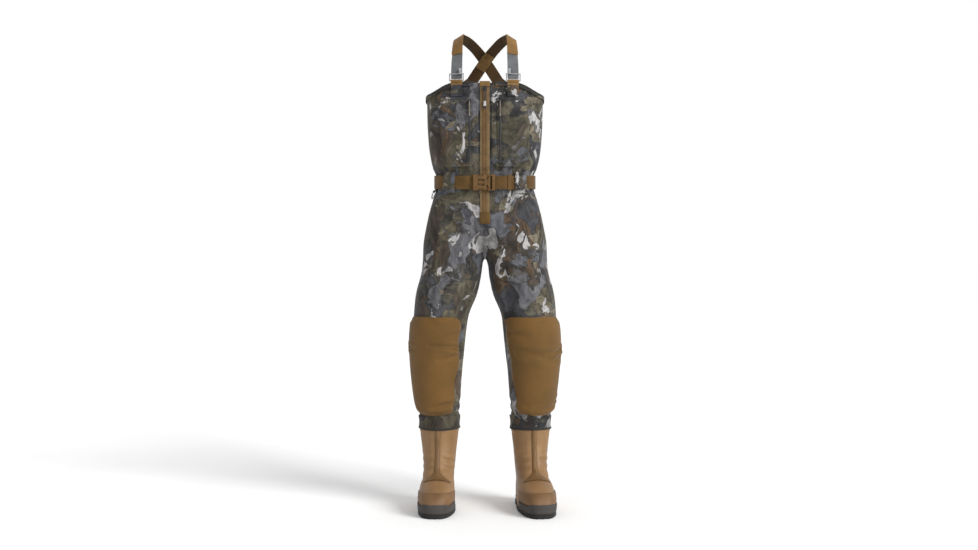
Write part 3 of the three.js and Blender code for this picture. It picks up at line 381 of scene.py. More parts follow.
def object_from(bm, name, material, body_name="garment", nodes=(), slot=None):
    """Turns a bmesh into a finished piece that rides on a body and stands for CAD nodes."""
    mesh = bpy.data.meshes.new(name)
    bm.to_mesh(mesh)
    bm.free()
    mesh.polygons.foreach_set("use_smooth", [True] * len(mesh.polygons))
    mesh.materials.append(material)
    piece = bpy.data.objects.new(name, mesh)
    scene.collection.objects.link(piece)
    if body_name:
        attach(piece, body_name)
    if nodes:
        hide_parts(*nodes)
    return piece


def modify(piece, kind, **settings):
    made = piece.modifiers.new(kind.lower(), kind)
    for key, value in settings.items():
        setattr(made, key, value)
    return made


def soften(piece, levels=1):
    return modify(piece, "SUBSURF", levels=levels, render_levels=levels)


def bake_down(piece):
    """Applies a piece's modifiers, so that its mesh is final."""
    graph = bpy.context.evaluated_depsgraph_get()
    graph.update()
    made = bpy.data.meshes.new_from_object(piece.evaluated_get(graph), depsgraph=graph)
    old = piece.data
    piece.modifiers.clear()
    piece.data = made
    made.name = piece.name
    bpy.data.meshes.remove(old)
    return piece


def thicken(piece, thick, edge, offset=1, segments=2, **settings):
    """Gives a sheet its thickness (outwards, with offset 1) and rounds the new edges."""
    modify(piece, "SOLIDIFY", thickness=thick * MM, offset=offset, **settings)
    modify(piece, "BEVEL", width=edge * MM, segments=segments, limit_method="ANGLE")
    return piece


print("tools for meshes and modifiers are ready")


# %% Sheets laid on a surface, and fittings
def draped(name, material, place, across, along, thick=0.0, closed=False, **rest):
    """A grid laid by place(u, v), in millimetres, then given its thickness outwards."""
    bm = bmesh.new()
    bmesh.ops.create_grid(bm, x_segments=across, y_segments=along, size=0.5)
    for v in bm.verts:
        v.co = place(v.co.x + 0.5, v.co.y + 0.5) * MM
    if closed:
        welded(bm, 0.05)
    bmesh.ops.recalc_face_normals(bm, faces=bm.faces)
    piece = object_from(bm, name, material, **rest)
    return thicken(piece, thick, 0.5) if thick else piece


def outward(piece, centre):
    """Turns an open sheet's faces away from a centre line, so thickness goes outwards."""
    mesh = piece.data
    total = 0.0
    for face in mesh.polygons:
        away = face.center - Vector((centre[0] * MM, centre[1] * MM, face.center.z))
        total += face.normal.dot(away) * face.area
    if total < 0:
        mesh.flip_normals()
    return piece


def rounded(node_name, material, body_name, slot, width=0.5, smooth_levels=0):
    """A welded copy of a hard fitting with rounded edges."""
    bm = bmesh.new()
    bm.from_mesh(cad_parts[node_name].data)
    welded(bm)
    bmesh.ops.dissolve_limit(
        bm, angle_limit=math.radians(4), verts=bm.verts, edges=bm.edges
    )
    piece = object_from(bm, node_name + "_made", material, body_name, [node_name], slot)
    if width:
        modify(
            piece, "BEVEL", width=width * MM, segments=3, limit_method="ANGLE",
            angle_limit=math.radians(38),
        )
        modify(piece, "WEIGHTED_NORMAL", keep_sharp=False)
    if smooth_levels:
        soften(piece, smooth_levels)
    return piece


print("sheets and fittings can be made")


# %% Stitches
STITCH, STITCH_GAP, STITCH_RADIUS = 2.6, 1.6, 0.45  # thicker than real thread, to be seen
STITCH_SHAPE = (STITCH_RADIUS, STITCH / 2, STITCH_RADIUS)


def stitches(name, material, lines):
    """Rows of stitches. Each line is a list of (point, normal), in millimetres."""
    bm = bmesh.new()
    count = 0
    for line in lines:
        travelled, due = 0.0, 0.0
        for (a, na), (b, nb) in zip(line, line[1:]):
            step = (b - a).length
            while step > 1e-6 and due <= travelled + step:
                t = (due - travelled) / step
                point, normal = a.lerp(b, t), na.lerp(nb, t).normalized()
                run = (b - a).normalized()
                side = normal.cross(run).normalized()
                turn = Matrix((side, run, run.cross(side) * -1)).transposed().to_4x4()
                spot = Matrix.Translation((point + normal * STITCH_RADIUS * 0.7) * MM) @ turn
                shape = Matrix.Diagonal((*Vector(STITCH_SHAPE) * MM, 1))
                bmesh.ops.create_icosphere(bm, subdivisions=1, radius=1, matrix=spot @ shape)
                count += 1
                due += STITCH + STITCH_GAP
            travelled += step
    bmesh.ops.recalc_face_normals(bm, faces=bm.faces)
    print(name, count, "stitches")
    return object_from(bm, name, material)


print("a stitch every", STITCH + STITCH_GAP, "mm")

# %% [markdown]
# ## Finishes
# Each finish is named for what it is. Patterns are three-dimensional and read the piece's own
# coordinates, so they run on across seams. A thread is far too fine to show from this far,
# so each weave is drawn a few times coarser than it is.

# %% Weave and wear shared by the cloths
THREADS_A_UNIT = 6.3  # a wave texture has about 3.2 waves in a unit, two threads to each


def bumped(tree, shader, heights):
    """Joins (height, strength, depth in millimetres) layers of relief to a shader."""
    last = None
    for height, strength, depth in heights:
        links = [("Height", height)] + ([("Normal", last)] if last else [])
        last = node(tree, "Bump", links, out="Normal", Strength=strength, Distance=depth * MM)
    tree.links.new(last, shader.inputs["Normal"])


def weave(tree, coords, pitch):
    """Crossed bands, one thread pitch apart, for woven cloth and webbing."""
    bands = [
        node(
            tree, "TexWave", [("Vector", coords)], out="Fac", bands_direction=way,
            Scale=per(pitch) / THREADS_A_UNIT, Distortion=0.3, Detail=1.0,
        )
        for way in ("X", "Z")
    ]
    return node(tree, "Math", [(0, bands[0]), (1, bands[1])], out=0, operation="MAXIMUM")


def cloth(name, light, dark, pitch=2.4, patch=70, rough=0.82, sheen=0.08, relief=0.35):
    """Plain dyed cloth or webbing: two close tones, a weave and a little wear. pitch is the
    thread spacing and patch the size of a worn place, both in millimetres."""
    material, tree, shader = finish_of(name, rough=rough, sheen=sheen, specular=0.3)
    coords = node(tree, "TexCoord", out="Object")
    wear = node(tree, "TexNoise", [("Vector", coords)], out="Fac", Scale=per(patch), Detail=4.0)
    threads = weave(tree, coords, pitch)
    tone = node(tree, "ValToRGB", [("Fac", wear)], [(0.32, dark), (0.68, light)], out="Color")
    shade = node(tree, "ValToRGB", [("Fac", threads)], [(0.0, 0.78), (0.6, 1.0)], out="Color")
    layers = [(0, 0.8), (6, tone), (7, shade)]
    woven = node(tree, "Mix", layers, out=2, data_type="RGBA", blend_type="MULTIPLY")
    tree.links.new(woven, shader.inputs["Base Color"])
    bumped(tree, shader, [(wear, 0.15, 4), (threads, relief, 0.5)])
    return material


print("cloths are woven from one pair of crossed bands")

# %% [markdown]
# The shell is woven nylon, printed with a camouflage of torn leaves. A print could be painted
# as an image; built from noise instead, it runs on across every seam and stays sharp at any
# distance. Each leaf layer is one noise cut off at a level: just inside the cut it is pale,
# further in darker, and just outside it lies a thin shadow.

# %% Camouflage: printed nylon shell cloth
LEAVES = [
    # size in mm, where it starts, edge colour, inner colour, softness of its edge, stretch
    (210, 0.500, "#4E4F53", "#393A3F", 0.050, (1, 1, 0.8)),
    (160, 0.515, "#696351", "#4A4536", 0.035, (0.8, 1, 1.2)),
    (140, 0.550, "#51463C", "#3A322B", 0.030, (1.2, 1, 0.7)),
    (120, 0.570, "#62646A", "#424348", 0.030, (0.7, 1, 1.1)),
    (95, 0.600, "#5C4A38", "#443628", 0.018, (1.2, 1, 0.8)),
    (95, 0.592, "#747376", "#58585C", 0.045, (1.0, 1, 0.7)),
    (85, 0.600, "#7A725F", "#585143", 0.018, (0.8, 1, 1.3)),
    (84, 0.594, "#AFADAB", "#868484", 0.016, (1.0, 1, 0.8)),
]


def camouflage(name, shade=1.0):
    """A painterly print: torn leaf shapes laid one over another, each paler at its edge, with
    a dark line of shadow outside it. One slow noise bends every layer, so they flow."""
    material, tree, shader = finish_of(name, rough=0.8, sheen=0.05, specular=0.28)
    coords = node(tree, "TexCoord", out="Object")
    bend = node(
        tree, "TexNoise", [("Vector", coords)], out="Color", Scale=per(170), Detail=3.0
    )
    push = node(
        tree, "VectorMath", [(0, bend), (1, (0.5, 0.5, 0.5))], out=0, operation="SUBTRACT"
    )
    grow = node(tree, "VectorMath", [(0, push)], out=0, operation="SCALE", Scale=0.14)
    flow = node(tree, "VectorMath", [(0, coords), (1, grow)], out=0, operation="ADD")

    def layer(size, detail, rough, warp, shift, stretch=(1, 1, 1)):
        """One noise, its features size millimetres across, shifted so that no two agree."""
        place = node(
            tree, "Mapping", [("Vector", flow)], out=0,
            Location=(shift, shift * 1.7, shift * 0.6), Scale=stretch,
        )
        return node(
            tree, "TexNoise", [("Vector", place)], out="Fac", Scale=per(size),
            Detail=detail, Roughness=rough, Distortion=warp,
        )

    printed = node(
        tree, "ValToRGB", [("Fac", layer(140, 5, 0.55, 0.6, 0.0))],
        [(0.36, "#26272A"), (0.46, "#3D3D3E"), (0.54, "#4B473D"), (0.64, "#35322C")],
        out="Color",
    )
    # painted light: across and more make the print paler towards +X, where the light falls
    across = node(tree, "SeparateXYZ", [(0, coords)], out="X")
    more = node(tree, "Math", [(0, across), (1, 0.11)], out=0, operation="MULTIPLY")
    for i, (size, at, edge, inner, soft, stretch) in enumerate(LEAVES):
        field = layer(size, 7, 0.56, 0.5, 4.3 * i + 2.1, stretch)
        if i > 4:  # painted light: pale leaves lie thicker on the lit right side than on the left
            field = node(tree, "Math", [(0, field), (1, more)], out=0, operation="ADD")
        for colour, stops in (
            ("#232120", [(at - 0.022, 0.0), (at - 0.002, 0.55)]),
            (
                node(
                    tree, "ValToRGB", [("Fac", field)], [(at, edge), (at + 0.085, inner)],
                    out="Color",
                ),
                [(at, 0.0), (at + soft, 0.95)],
            ),
        ):
            shape = node(tree, "ValToRGB", [("Fac", field)], stops, out="Color")
            layers = [(0, shape), (6, printed), (7, colour)]
            printed = node(tree, "Mix", layers, out=2, data_type="RGBA")
    strokes = layer(42, 8, 0.72, 0.8, 31.0, (1, 1, 0.6))
    brush = node(tree, "ValToRGB", [("Fac", strokes)], [(0.36, 0.4), (0.62, 1.3)], out="Color")
    threads = weave(tree, coords, 2.2)
    rib = [(0.0, 0.86 * shade), (0.6, 1.0 * shade)]
    ribbed = node(tree, "ValToRGB", [("Fac", threads)], rib, out="Color")
    for over in (brush, ribbed):
        layers = [(0, 1.0), (6, printed), (7, over)]
        printed = node(
            tree, "Mix", layers, out=2, data_type="RGBA", blend_type="MULTIPLY"
        )
    tree.links.new(printed, shader.inputs["Base Color"])
    crumple = node(tree, "TexNoise", [("Vector", coords)], out="Fac", Scale=per(34), Detail=3.0)
    bumped(tree, shader, [(crumple, 0.4, 4.0), (threads, 0.25, 0.35)])
    return material


# Plain-woven nylon, printed and then treated against water: matt, faintly crumpled.
CAMO = camouflage("camouflage printed nylon")
# The same cloth, made darker for the cuffs and the pocket zip welts: painted shade.
CAMO_PAINTED_SHADE = camouflage("camouflage printed nylon, painted_shade", 0.66)
print(len(LEAVES), "layers of leaves in the print")

# %% [markdown]
# The other cloths are plain dyed. What tells them apart is how closely they are woven and how
# much they shine: a flat binding is dull, hard nylon webbing has a slight sheen, and elastic
# shows wide ribs. Two close tones keep each from looking like flat paint.

# %% Cloths, webbings and cords
# Warp-knitted polyester: soft, with no gloss, so the inside reads as deep shade.
LINING = cloth("charcoal knitted tricot", "#35373A", "#2A2B2D", 2.0, 90)
# Woven polyester tape, folded flat: close and dull, a dark line round every raw edge.
BINDING = cloth("dark woven binding", "#2B2A27", "#201F1C", 1.8, 40)
# Heavy nylon, plain woven and coated behind: even, slightly silky where it bends.
KNEE_CLOTH = cloth("brown heavy woven nylon", "#6A4B1F", "#594018", 2.6, 110, 0.78, 0.1)
# Nylon webbing, woven thick and heat set: strong thread relief and a dull sheen.
BELT_WEB = cloth("brown woven nylon webbing", "#5C4117", "#48320F", 2.4, 30, 0.72, 0.05, 0.6)
# The braces' webbing: its outer face, in the webbing's own brown,
BRACE_WEB = cloth("brown brace webbing, face", "#82602F", "#6B4D24", 2.4, 45, 0.75, 0.05, 0.6)
# and a darker copy for the face turned to the wearer: painted shade, as that face lies in shadow.
BRACE_BACK_SHADED = cloth("brown brace webbing, back", "#523B1C", "#432F16", 2.4, 45, 0.8, 0.05, 0.6)
# Thin nylon tape, woven close: lighter than the belt and worn at the folds.
TAN_WEB = cloth("tan woven nylon tape", "#84653A", "#6D512C", 2.0, 25, 0.75, 0.05, 0.6)
# Rubber threads covered with polyester and woven in: wide ribs across a grey band.
ELASTIC = cloth("grey woven elastic", "#66686A", "#535557", 3.4, 30, 0.8, 0.05, 0.7)
# Polyester zip tape, woven fine: flat and matt beside the coil.
TAPE = cloth("tan woven zip tape", "#776244", "#5F4D34", 1.8, 30, 0.75, 0.05, 0.5)
# Bonded polyester thread: small dark knots, each catching a little light.
DARK_THREAD = cloth("dark bonded thread", "#3A3834", "#2C2A27", 0.9, 12, 0.8, 0.05, 0.2)
# Braided nylon cord: rounded, its plait just visible.
CORD = cloth("grey-beige braided cord", "#8D8272", "#73695B", 1.6, 10, 0.7, 0.05, 0.6)
DARK_CORD = cloth("black braided cord", "#2E2D2E", "#232223", 1.6, 10, 0.7, 0.05, 0.6)
print(len(bpy.data.materials), "finishes so far")

# %% [markdown]
# Rubber and plastic take their surface from the mould: a fine grit that breaks up the
# highlight, and a slow drift in tone where the material flowed. Their gloss drifts with it.
# The one metal is made the same way, since it is cast and plated, but fully metallic.

# %% Rubbers, plastics and metal
def moulded(name, light, dark, rough, size=40, grit=1.4, depth=0.12, metal=0.0):
    """Moulded rubber or plastic: a faint flow pattern in its colour and a fine grit. size is
    that of the flow marks and grit that of the grains, in millimetres. Real grit is about a
    tenth of a millimetre, too fine to show, so it is drawn ten to twenty times coarser."""
    material, tree, shader = finish_of(name, rough=rough, metal=metal, specular=0.45)
    coords = node(tree, "TexCoord", out="Object")
    drift = node(tree, "TexNoise", [("Vector", coords)], out="Fac", Scale=per(size), Detail=5.0)
    grains = node(tree, "TexNoise", [("Vector", coords)], out="Fac", Scale=per(grit), Detail=2.0)
    for socket, low, high in (
        ("Base Color", dark, light),
        ("Roughness", rough - 0.08, rough + 0.08),
    ):
        stops = [(0.3, low), (0.7, high)]
        tone = node(tree, "ValToRGB", [("Fac", drift)], stops, out="Color")
        tree.links.new(tone, shader.inputs[socket])
    bumped(tree, shader, [(grains, 0.5, depth)])
    return material


# Natural rubber, vulcanised on a last: satin, so the waves over the ankle catch the light.
BOOT_RUBBER = moulded("tan vulcanised rubber", "#8C6B45", "#775938", 0.55, 70, 2.2, 0.2)
# A second, harder layer of rubber pressed over the toes: a shade darker, a little duller.
CAP_RUBBER = moulded("brown pressed toe rubber", "#765838", "#62472A", 0.6, 40, 1.8, 0.3)
# The shin rib, moulded thicker: its own olive brown sets it off from the shaft, and where it
# flares along the instep crease, that dark rubber is painted shade of the crease.
RIB_RUBBER_AND_SHADE = moulded("olive-brown moulded rubber", "#735430", "#604522", 0.6, 40, 1.8, 0.2)
# Hard-wearing bumper rubber with much carbon black in it: grey and scuffed, without shine.
SOLE_RUBBER = moulded("dark grey bumper rubber", "#413D3A", "#322F2D", 0.78, 30, 2.4, 0.5)
# Outsole rubber, moulded in a rough tool and dead matt; its near-black is partly its own
# colour and partly painted shade, the contact shadow where the sole meets the floor.
OUTSOLE_WITH_SHADOW = moulded("black outsole rubber", "#211F1E", "#171616", 0.85, 30, 2.4, 0.5)
# Injection-moulded nylon with glass fibre: black, with a soft highlight on each edge.
BLACK = moulded("black glass-filled nylon", "#26262A", "#1A1A1C", 0.42, 12, 0.9, 0.1)
# Acetal, moulded in a polished tool: the slick brown of a buckle.
BROWN = moulded("brown moulded acetal", "#65471B", "#523912", 0.45, 20, 1.1, 0.08)
# Soft plastic, moulded round the cord's end: pale, so that it is found in poor light.
PALE = moulded("pale grey moulded pull", "#B9B8B5", "#9E9D99", 0.45, 10, 0.9, 0.08)
# A nylon coil under a coat of polyurethane: brown and slightly wet-looking.
COIL = moulded("brown urethane-coated coil", "#62461A", "#4E3510", 0.5, 16, 1.2, 0.15)
# Zinc, cast and nickel-plated: bright, with the small ripples of plating.
STEEL = moulded("nickel-plated zinc", "#C6C7C9", "#A9ABAD", 0.24, 15, 2.0, 0.02, metal=1.0)
print(len(bpy.data.materials), "finishes")

# %% [markdown]
# ## The shell
# Bib, hips and legs are one skin. Modelled as tubes, the tubes would show at the crotch, so
# body and legs are made solid, joined and remeshed into one even skin, and the caps are cut
# off again. Then the folds are put in: the broad ones one by one, where a body bends and cloth
# piles up, and the small ones by cloth simulation, which lets the skin grow a little while
# its hems and the belt line hold it, so that it buckles as slack fabric does.

# %% Body and legs joined into one skin
def capped(surface, around, heights):
    """A closed tube: a grid wrapped round the surface, welded, with its two ends filled."""
    bm = bmesh.new()
    bmesh.ops.create_grid(bm, x_segments=around, y_segments=len(heights) - 1, size=0.5)
    for v in bm.verts:
        row = round((v.co.y + 0.5) * (len(heights) - 1))
        v.co = surface(-180 + 360 * (v.co.x + 0.5), heights[row]) * MM
    welded(bm, 0.02)
    open_edges = [e for e in bm.edges if e.is_boundary]
    bmesh.ops.holes_fill(bm, edges=open_edges, sides=0)
    bmesh.ops.recalc_face_normals(bm, faces=bm.faces)
    return bm


def steps(a, b, count):
    return [lerp(a, b, i / count) for i in range(count + 1)]


def shrunk(surface, inwards):
    """The same surface a little way in, because folds stand out as well as in."""
    return lambda u, v: surface(u, v) - normal_at(surface, u, v) * inwards


CLOTH_IN = 1.5
skin = bmesh.new()
for surface, heights in (
    (shrunk(body, CLOTH_IN), steps(CROTCH - 2, BIB_TOP + 30, 60)),
    (shrunk(leg(-1), CLOTH_IN), steps(HEM + 8, CROTCH + 8, 60)),
    (shrunk(leg(1), CLOTH_IN), steps(HEM + 8, CROTCH + 8, 60)),
):
    part = capped(surface, 96, heights)
    mesh = bpy.data.meshes.new("part")
    part.to_mesh(mesh)
    part.free()
    skin.from_mesh(mesh)
    bpy.data.meshes.remove(mesh)
SKIN_CELL = 7.5
shell = object_from(skin, "shell", CAMO, None)
modify(shell, "REMESH", mode="VOXEL", voxel_size=SKIN_CELL * MM, use_smooth_shade=True)
bake_down(shell)
print("skin", len(shell.data.vertices), "points")


# %% Where a point is, seen from the body or from its leg
def turn_of(point):
    """The angle round the body or the leg that a point is on, and which of the two."""
    x, y, z = point / MM
    if z > CROTCH - 20:
        return math.degrees(math.atan2(x, BODY_Y - y)), "body"
    sign = -1 if x < 0 else 1
    lx, _, _, ly = read(LEG, z)
    return math.degrees(math.atan2(x - sign * lx, ly - y)), "leg"


def top_here(co):
    return bib_top(turn_of(co)[0]) * MM


def sliced(bm, height, **settings):
    """Cuts across at a height. clear_inner drops what is below it, clear_outer the rest."""
    bmesh.ops.bisect_plane(
        bm, geom=[*bm.verts, *bm.edges, *bm.faces], plane_co=(0, 0, height * MM),
        plane_no=(0, 0, 1), **settings,
    )


print("over the right hip the turn is", round(turn_of(Vector((0.19, 0.035, 0.95)))[0]), "degrees")

# %% [markdown]
# The hems are level, so one flat cut makes both. The bib's edge swoops, so its spare faces are
# deleted and the points left on the edge are moved onto the true line, then smoothed.

# %% Cut the skin to the bib's edge and the trouser hems
SHELL_HEM, EDGE_ZONE = HEM + 14, 1200  # above the second there is only the bib's edge
bm = bmesh.new()
bm.from_mesh(shell.data)
sliced(bm, SHELL_HEM, clear_inner=True)
gone = [f for f in bm.faces if all(v.co.z > top_here(v.co) for v in f.verts)]
bmesh.ops.delete(bm, geom=gone, context="FACES")
for v in bm.verts:
    if v.co.z > EDGE_ZONE * MM and v.is_boundary:
        v.co.z = top_here(v.co)
for turn in range(2):
    bmesh.ops.smooth_vert(bm, verts=bm.verts, factor=0.5, use_axis_x=True, use_axis_y=True)
print("cut to", len(bm.verts), "points")

# %% [markdown]
# The broad folds are valleys with a soft ridge on each side. Each is a line on the cloth: its
# middle (x, y, z), the way it runs (degrees above level, seen from the front), how long, how
# wide and how deep it is. Behind the knee, over the seat and at the crotch they are deepest.

# %% Where the broad folds lie
FOLDS = [
    # x, front -1 or back 1, z, run, length, width, depth
    (-22, -1, 872, 52, 95, 11, 6.5), (24, -1, 868, -50, 95, 11, 6.5),
    (-52, -1, 842, 30, 100, 12, 5.5), (54, -1, 836, -28, 105, 12, 5.5),
    (-34, -1, 905, 68, 80, 9, 4.0), (38, -1, 902, -66, 75, 9, 4.0),
    (-104, -1, 905, -42, 120, 14, 4.0), (110, -1, 900, 40, 120, 14, 4.0),
    (-160, -1, 800, 24, 110, 14, 4.0), (158, -1, 790, -20, 110, 14, 4.0),
    (-110, -1, 730, -12, 120, 14, 4.0), (116, -1, 722, 15, 120, 14, 4.0),
    (-148, -1, 655, 8, 110, 12, 3.5), (150, -1, 650, -10, 110, 12, 3.5),
    (-118, -1, 505, 14, 95, 9, 5.5), (-108, -1, 478, 30, 70, 8, 4.5),
    (-180, -1, 520, -12, 60, 8, 4.0), (176, -1, 500, 14, 80, 9, 4.5),
    (140, -1, 466, -14, 130, 12, 3.5), (122, -1, 560, -26, 80, 11, 3.0),
    (-150, -1, 585, 4, 90, 9, 2.5), (-150, -1, 352, -8, 110, 9, 4.0),
    (154, -1, 350, 10, 110, 9, 4.5), (-148, -1, 318, 6, 120, 7, 4.0),
    (150, -1, 320, -5, 120, 7, 4.0), (-60, -1, 780, 74, 90, 12, 4.0),
    (64, -1, 770, -76, 90, 12, 4.0),
    (-150, 1, 520, 5, 120, 10, 6.0), (150, 1, 515, -6, 120, 10, 6.0),
    (-148, 1, 480, -12, 110, 10, 6.0), (150, 1, 476, 10, 110, 10, 6.0),
    (-150, 1, 550, 14, 100, 10, 4.5), (148, 1, 556, -15, 100, 10, 4.5),
    (-70, 1, 842, -22, 110, 12, 5.5), (70, 1, 846, 24, 110, 12, 5.5),
    (-90, 1, 815, -12, 110, 12, 5.5), (92, 1, 810, 14, 110, 12, 5.5),
    (-18, 1, 880, 80, 90, 11, 5.0), (22, 1, 950, 86, 90, 12, 3.0),
    (-146, 1, 350, 8, 110, 9, 5.0), (148, 1, 344, -7, 110, 9, 5.0),
    (-150, 1, 400, -6, 100, 10, 3.5), (150, 1, 396, 9, 100, 10, 3.5),
    (-120, -1, 1180, 62, 130, 16, 2.2), (150, -1, 1150, 80, 120, 14, 2.5),
    (-165, -1, 1130, 82, 120, 12, 3.0), (90, 1, 1180, 70, 140, 16, 3.0),
    (-80, 1, 1160, -66, 140, 16, 3.0), (10, 1, 1230, 4, 180, 16, 2.5),
]
print(len(FOLDS), "broad folds")


# %% How deep the folds are at a point
def fold_depth(x, facing, z):
    """How far the broad folds push the cloth in (negative) or out, in millimetres."""
    total = 0.0
    for fx, side, fz, run, length, width, depth in FOLDS:
        if abs(z - fz) > length or facing * side < 0:
            continue
        c, s = math.cos(math.radians(run)), math.sin(math.radians(run))
        dx, dz = x - fx, z - fz
        along, off = dx * c + dz * s, -dx * s + dz * c
        off += 5 * math.sin(along / 23 + fx)  # no fold runs quite straight
        reach = clamp(1 - abs(along) / (length * 0.62))
        if reach <= 0:
            continue
        t = off / width
        valley, ridge = math.exp(-t * t), 0.55 * math.exp(-((abs(t) - 1.9) ** 2))
        total += depth * smooth(reach) * (ridge - valley)
    return 1.4 * total * smooth(abs(facing) * 1.6)


def gathers(angle, z):
    """Upright pleats where the waist is drawn in under the belt."""
    near = max(math.exp(-(((z - 1012) / 24) ** 2)), math.exp(-(((z - 1074) / 17) ** 2)))
    wave = math.sin(math.radians(angle) * 27 + 1.3 * math.sin(math.radians(angle) * 5))
    wave += 0.5 * math.sin(math.radians(angle) * 41 + 2)
    return 3.2 * near * wave


def stack(z, angle):
    """Rolls where the trouser leg piles up over the boot's cuff."""
    near = math.exp(-(((z - 334) / 22) ** 2))
    return 2.6 * near * math.sin((z + 9 * math.sin(math.radians(angle * 2))) / 6.2)


def covered(x, facing, z):
    """1 where a stiff panel lies on the cloth and keeps it flat, 0 where nothing does."""
    if facing > 0:
        return 0.0
    zip_strip = smooth((32 - abs(x)) / 12) if z > 905 else 0.0
    panel = smooth((150 - abs(x)) / 14) * smooth((z - 1078) / 14) * smooth((1352 - z) / 20)
    return max(zip_strip, 0.8 * panel)


print("at the crotch a fold is", round(fold_depth(-22, -1, 872), 1), "mm deep")

# %% Lay the folds
bm.normal_update()
moves = {}
for v in bm.verts:
    x, y, z = v.co / MM
    angle, where = turn_of(v.co)
    facing = v.normal.y
    free = 1 - covered(x, facing, z)
    push = fold_depth(x, facing, z) * free
    if where == "body":
        push += gathers(angle, z) * (1 - 0.6 * covered(x, facing, z))
    else:
        push += stack(z, angle)
    hem = smooth((z - SHELL_HEM) / 12)
    edge = smooth((top_here(v.co) / MM - z) / 16) if z > EDGE_ZONE else 1
    belt_line = 1 - 0.85 * math.exp(-(((z - WAIST) / 15) ** 2))
    moves[v] = v.normal * push * hem * edge * belt_line * MM
for v, push in moves.items():
    v.co += push
bm.to_mesh(shell.data)
bm.free()
print("folds laid;", len(shell.data.vertices), "points")

# %% [markdown]
# Small wrinkles come from too much cloth in too little room. In the simulation each point gets
# some slack, most at knee, crotch and ankle, and the stiff panels hold theirs flat. A few
# frames are enough, and a point that would sink into the wearer is put back.

# %% How slack the cloth is
GROW = 0.035  # how much wider the cloth is cut than the body it hangs round
MOST = 7.0  # no point may move further than this, in millimetres


def slack_of(point, facing):
    x, _, z = point / MM
    knee = math.exp(-(((z - 500) / 75) ** 2))
    crotch = math.exp(-(((z - 845) / 70) ** 2)) * math.exp(-((x / 120) ** 2))
    ankle = math.exp(-(((z - 325) / 45) ** 2))
    back = 0.35 if facing > 0.2 else 0.0
    bib = 0.25 if z > WAIST else 0.0
    slack = 0.35 + 0.5 * knee + 0.6 * crotch + 0.6 * ankle + back + bib
    return clamp(slack * (1 - covered(x, facing, z)))


print("slack at the left knee:", round(slack_of(Vector((-0.15, -0.03, 0.5)), -1), 2))


# %% Small wrinkles by cloth simulation
MOST_SUNK = 1.5  # how far a point may sink in before the wearer stops it, in millimetres


def simulate(piece, hold, slack, frames=16, grow=GROW, most=MOST, pressure=0.0):
    """Grows the cloth by its slack while hold pins it, and keeps every point within reach."""
    start = [(v.co.copy(), v.normal.copy()) for v in piece.data.vertices]
    pin, extra = piece.vertex_groups.new(name="hold"), piece.vertex_groups.new(name="slack")
    for v in piece.data.vertices:
        pin.add([v.index], hold(v), "REPLACE")
        extra.add([v.index], slack(v), "REPLACE")
    sim = modify(piece, "CLOTH")
    s = sim.settings
    s.quality = 5
    s.mass = 0.25
    s.tension_stiffness = s.compression_stiffness = 22
    s.shear_stiffness = 8
    s.bending_stiffness = 1.4
    s.tension_damping = s.compression_damping = s.shear_damping = 12
    s.air_damping = 4
    s.vertex_group_mass = "hold"
    s.pin_stiffness = 0.35
    s.vertex_group_shrink = "slack"
    s.shrink_min, s.shrink_max = 0.0, -grow
    if pressure:
        s.use_pressure = True
        s.uniform_pressure_force = pressure
    s.effector_weights.gravity = 0.12
    sim.collision_settings.use_collision = False
    sim.point_cache.frame_start, sim.point_cache.frame_end = 1, frames
    for f in range(1, frames + 1):
        scene.frame_set(f)
    bake_down(piece)
    scene.frame_set(1)
    furthest = 0.0
    for v, (was, normal) in zip(piece.data.vertices, start):
        sunk = (v.co - was).dot(normal) + MOST_SUNK * MM
        if sunk < 0:
            v.co -= normal * sunk
        step = v.co - was
        furthest = max(furthest, step.length / MM)
        if step.length > most * MM:
            v.co = was + step.normalized() * most * MM
    piece.vertex_groups.clear()
    print(piece.name, "moved up to", round(furthest, 1), "mm in the simulation")
    return piece


def shell_hold(v):
    x, _, z = v.co / MM
    hem = 1 - smooth((z - SHELL_HEM) / 10)
    edge = 1 - smooth((top_here(v.co) / MM - z) / 10) if z > EDGE_ZONE else 0
    belt_line = math.exp(-(((z - WAIST) / 20) ** 2))
    return clamp(max(0.05, hem, edge, 0.9 * belt_line, 0.9 * covered(x, v.normal.y, z)))


simulate(shell, shell_hold, lambda v: slack_of(v.co, v.normal.y))
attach(shell, "garment")

# %% Settle the bib's edge, and keep the skin's triangles to lay later pieces on
bm = bmesh.new()
bm.from_mesh(shell.data)
for v in bm.verts:
    if v.is_boundary and v.co.z > EDGE_ZONE * MM:
        angle = turn_of(v.co)[0]
        v.co = shrunk(body, CLOTH_IN)(angle, bib_top(angle) - 1) * MM
bm.to_mesh(shell.data)
shell_tree = BVHTree.FromBMesh(bm)
print("edge settled on", sum(v.is_boundary for v in bm.verts), "points")
bm.free()

# %% [markdown]
# Bib and trousers meet in a seam under the belt. Real waders have a laminate of cloth,
# membrane and tricot; here a single thickness with a second material inside gives the charcoal
# inside that shows over the back edge.

# %% Part the shell at its waist seam, and give it thickness and a lining
def cut_at(piece, height, upper_part):
    bm = bmesh.new()
    bm.from_mesh(piece.data)
    sliced(bm, height, clear_inner=upper_part, clear_outer=not upper_part)
    return bm


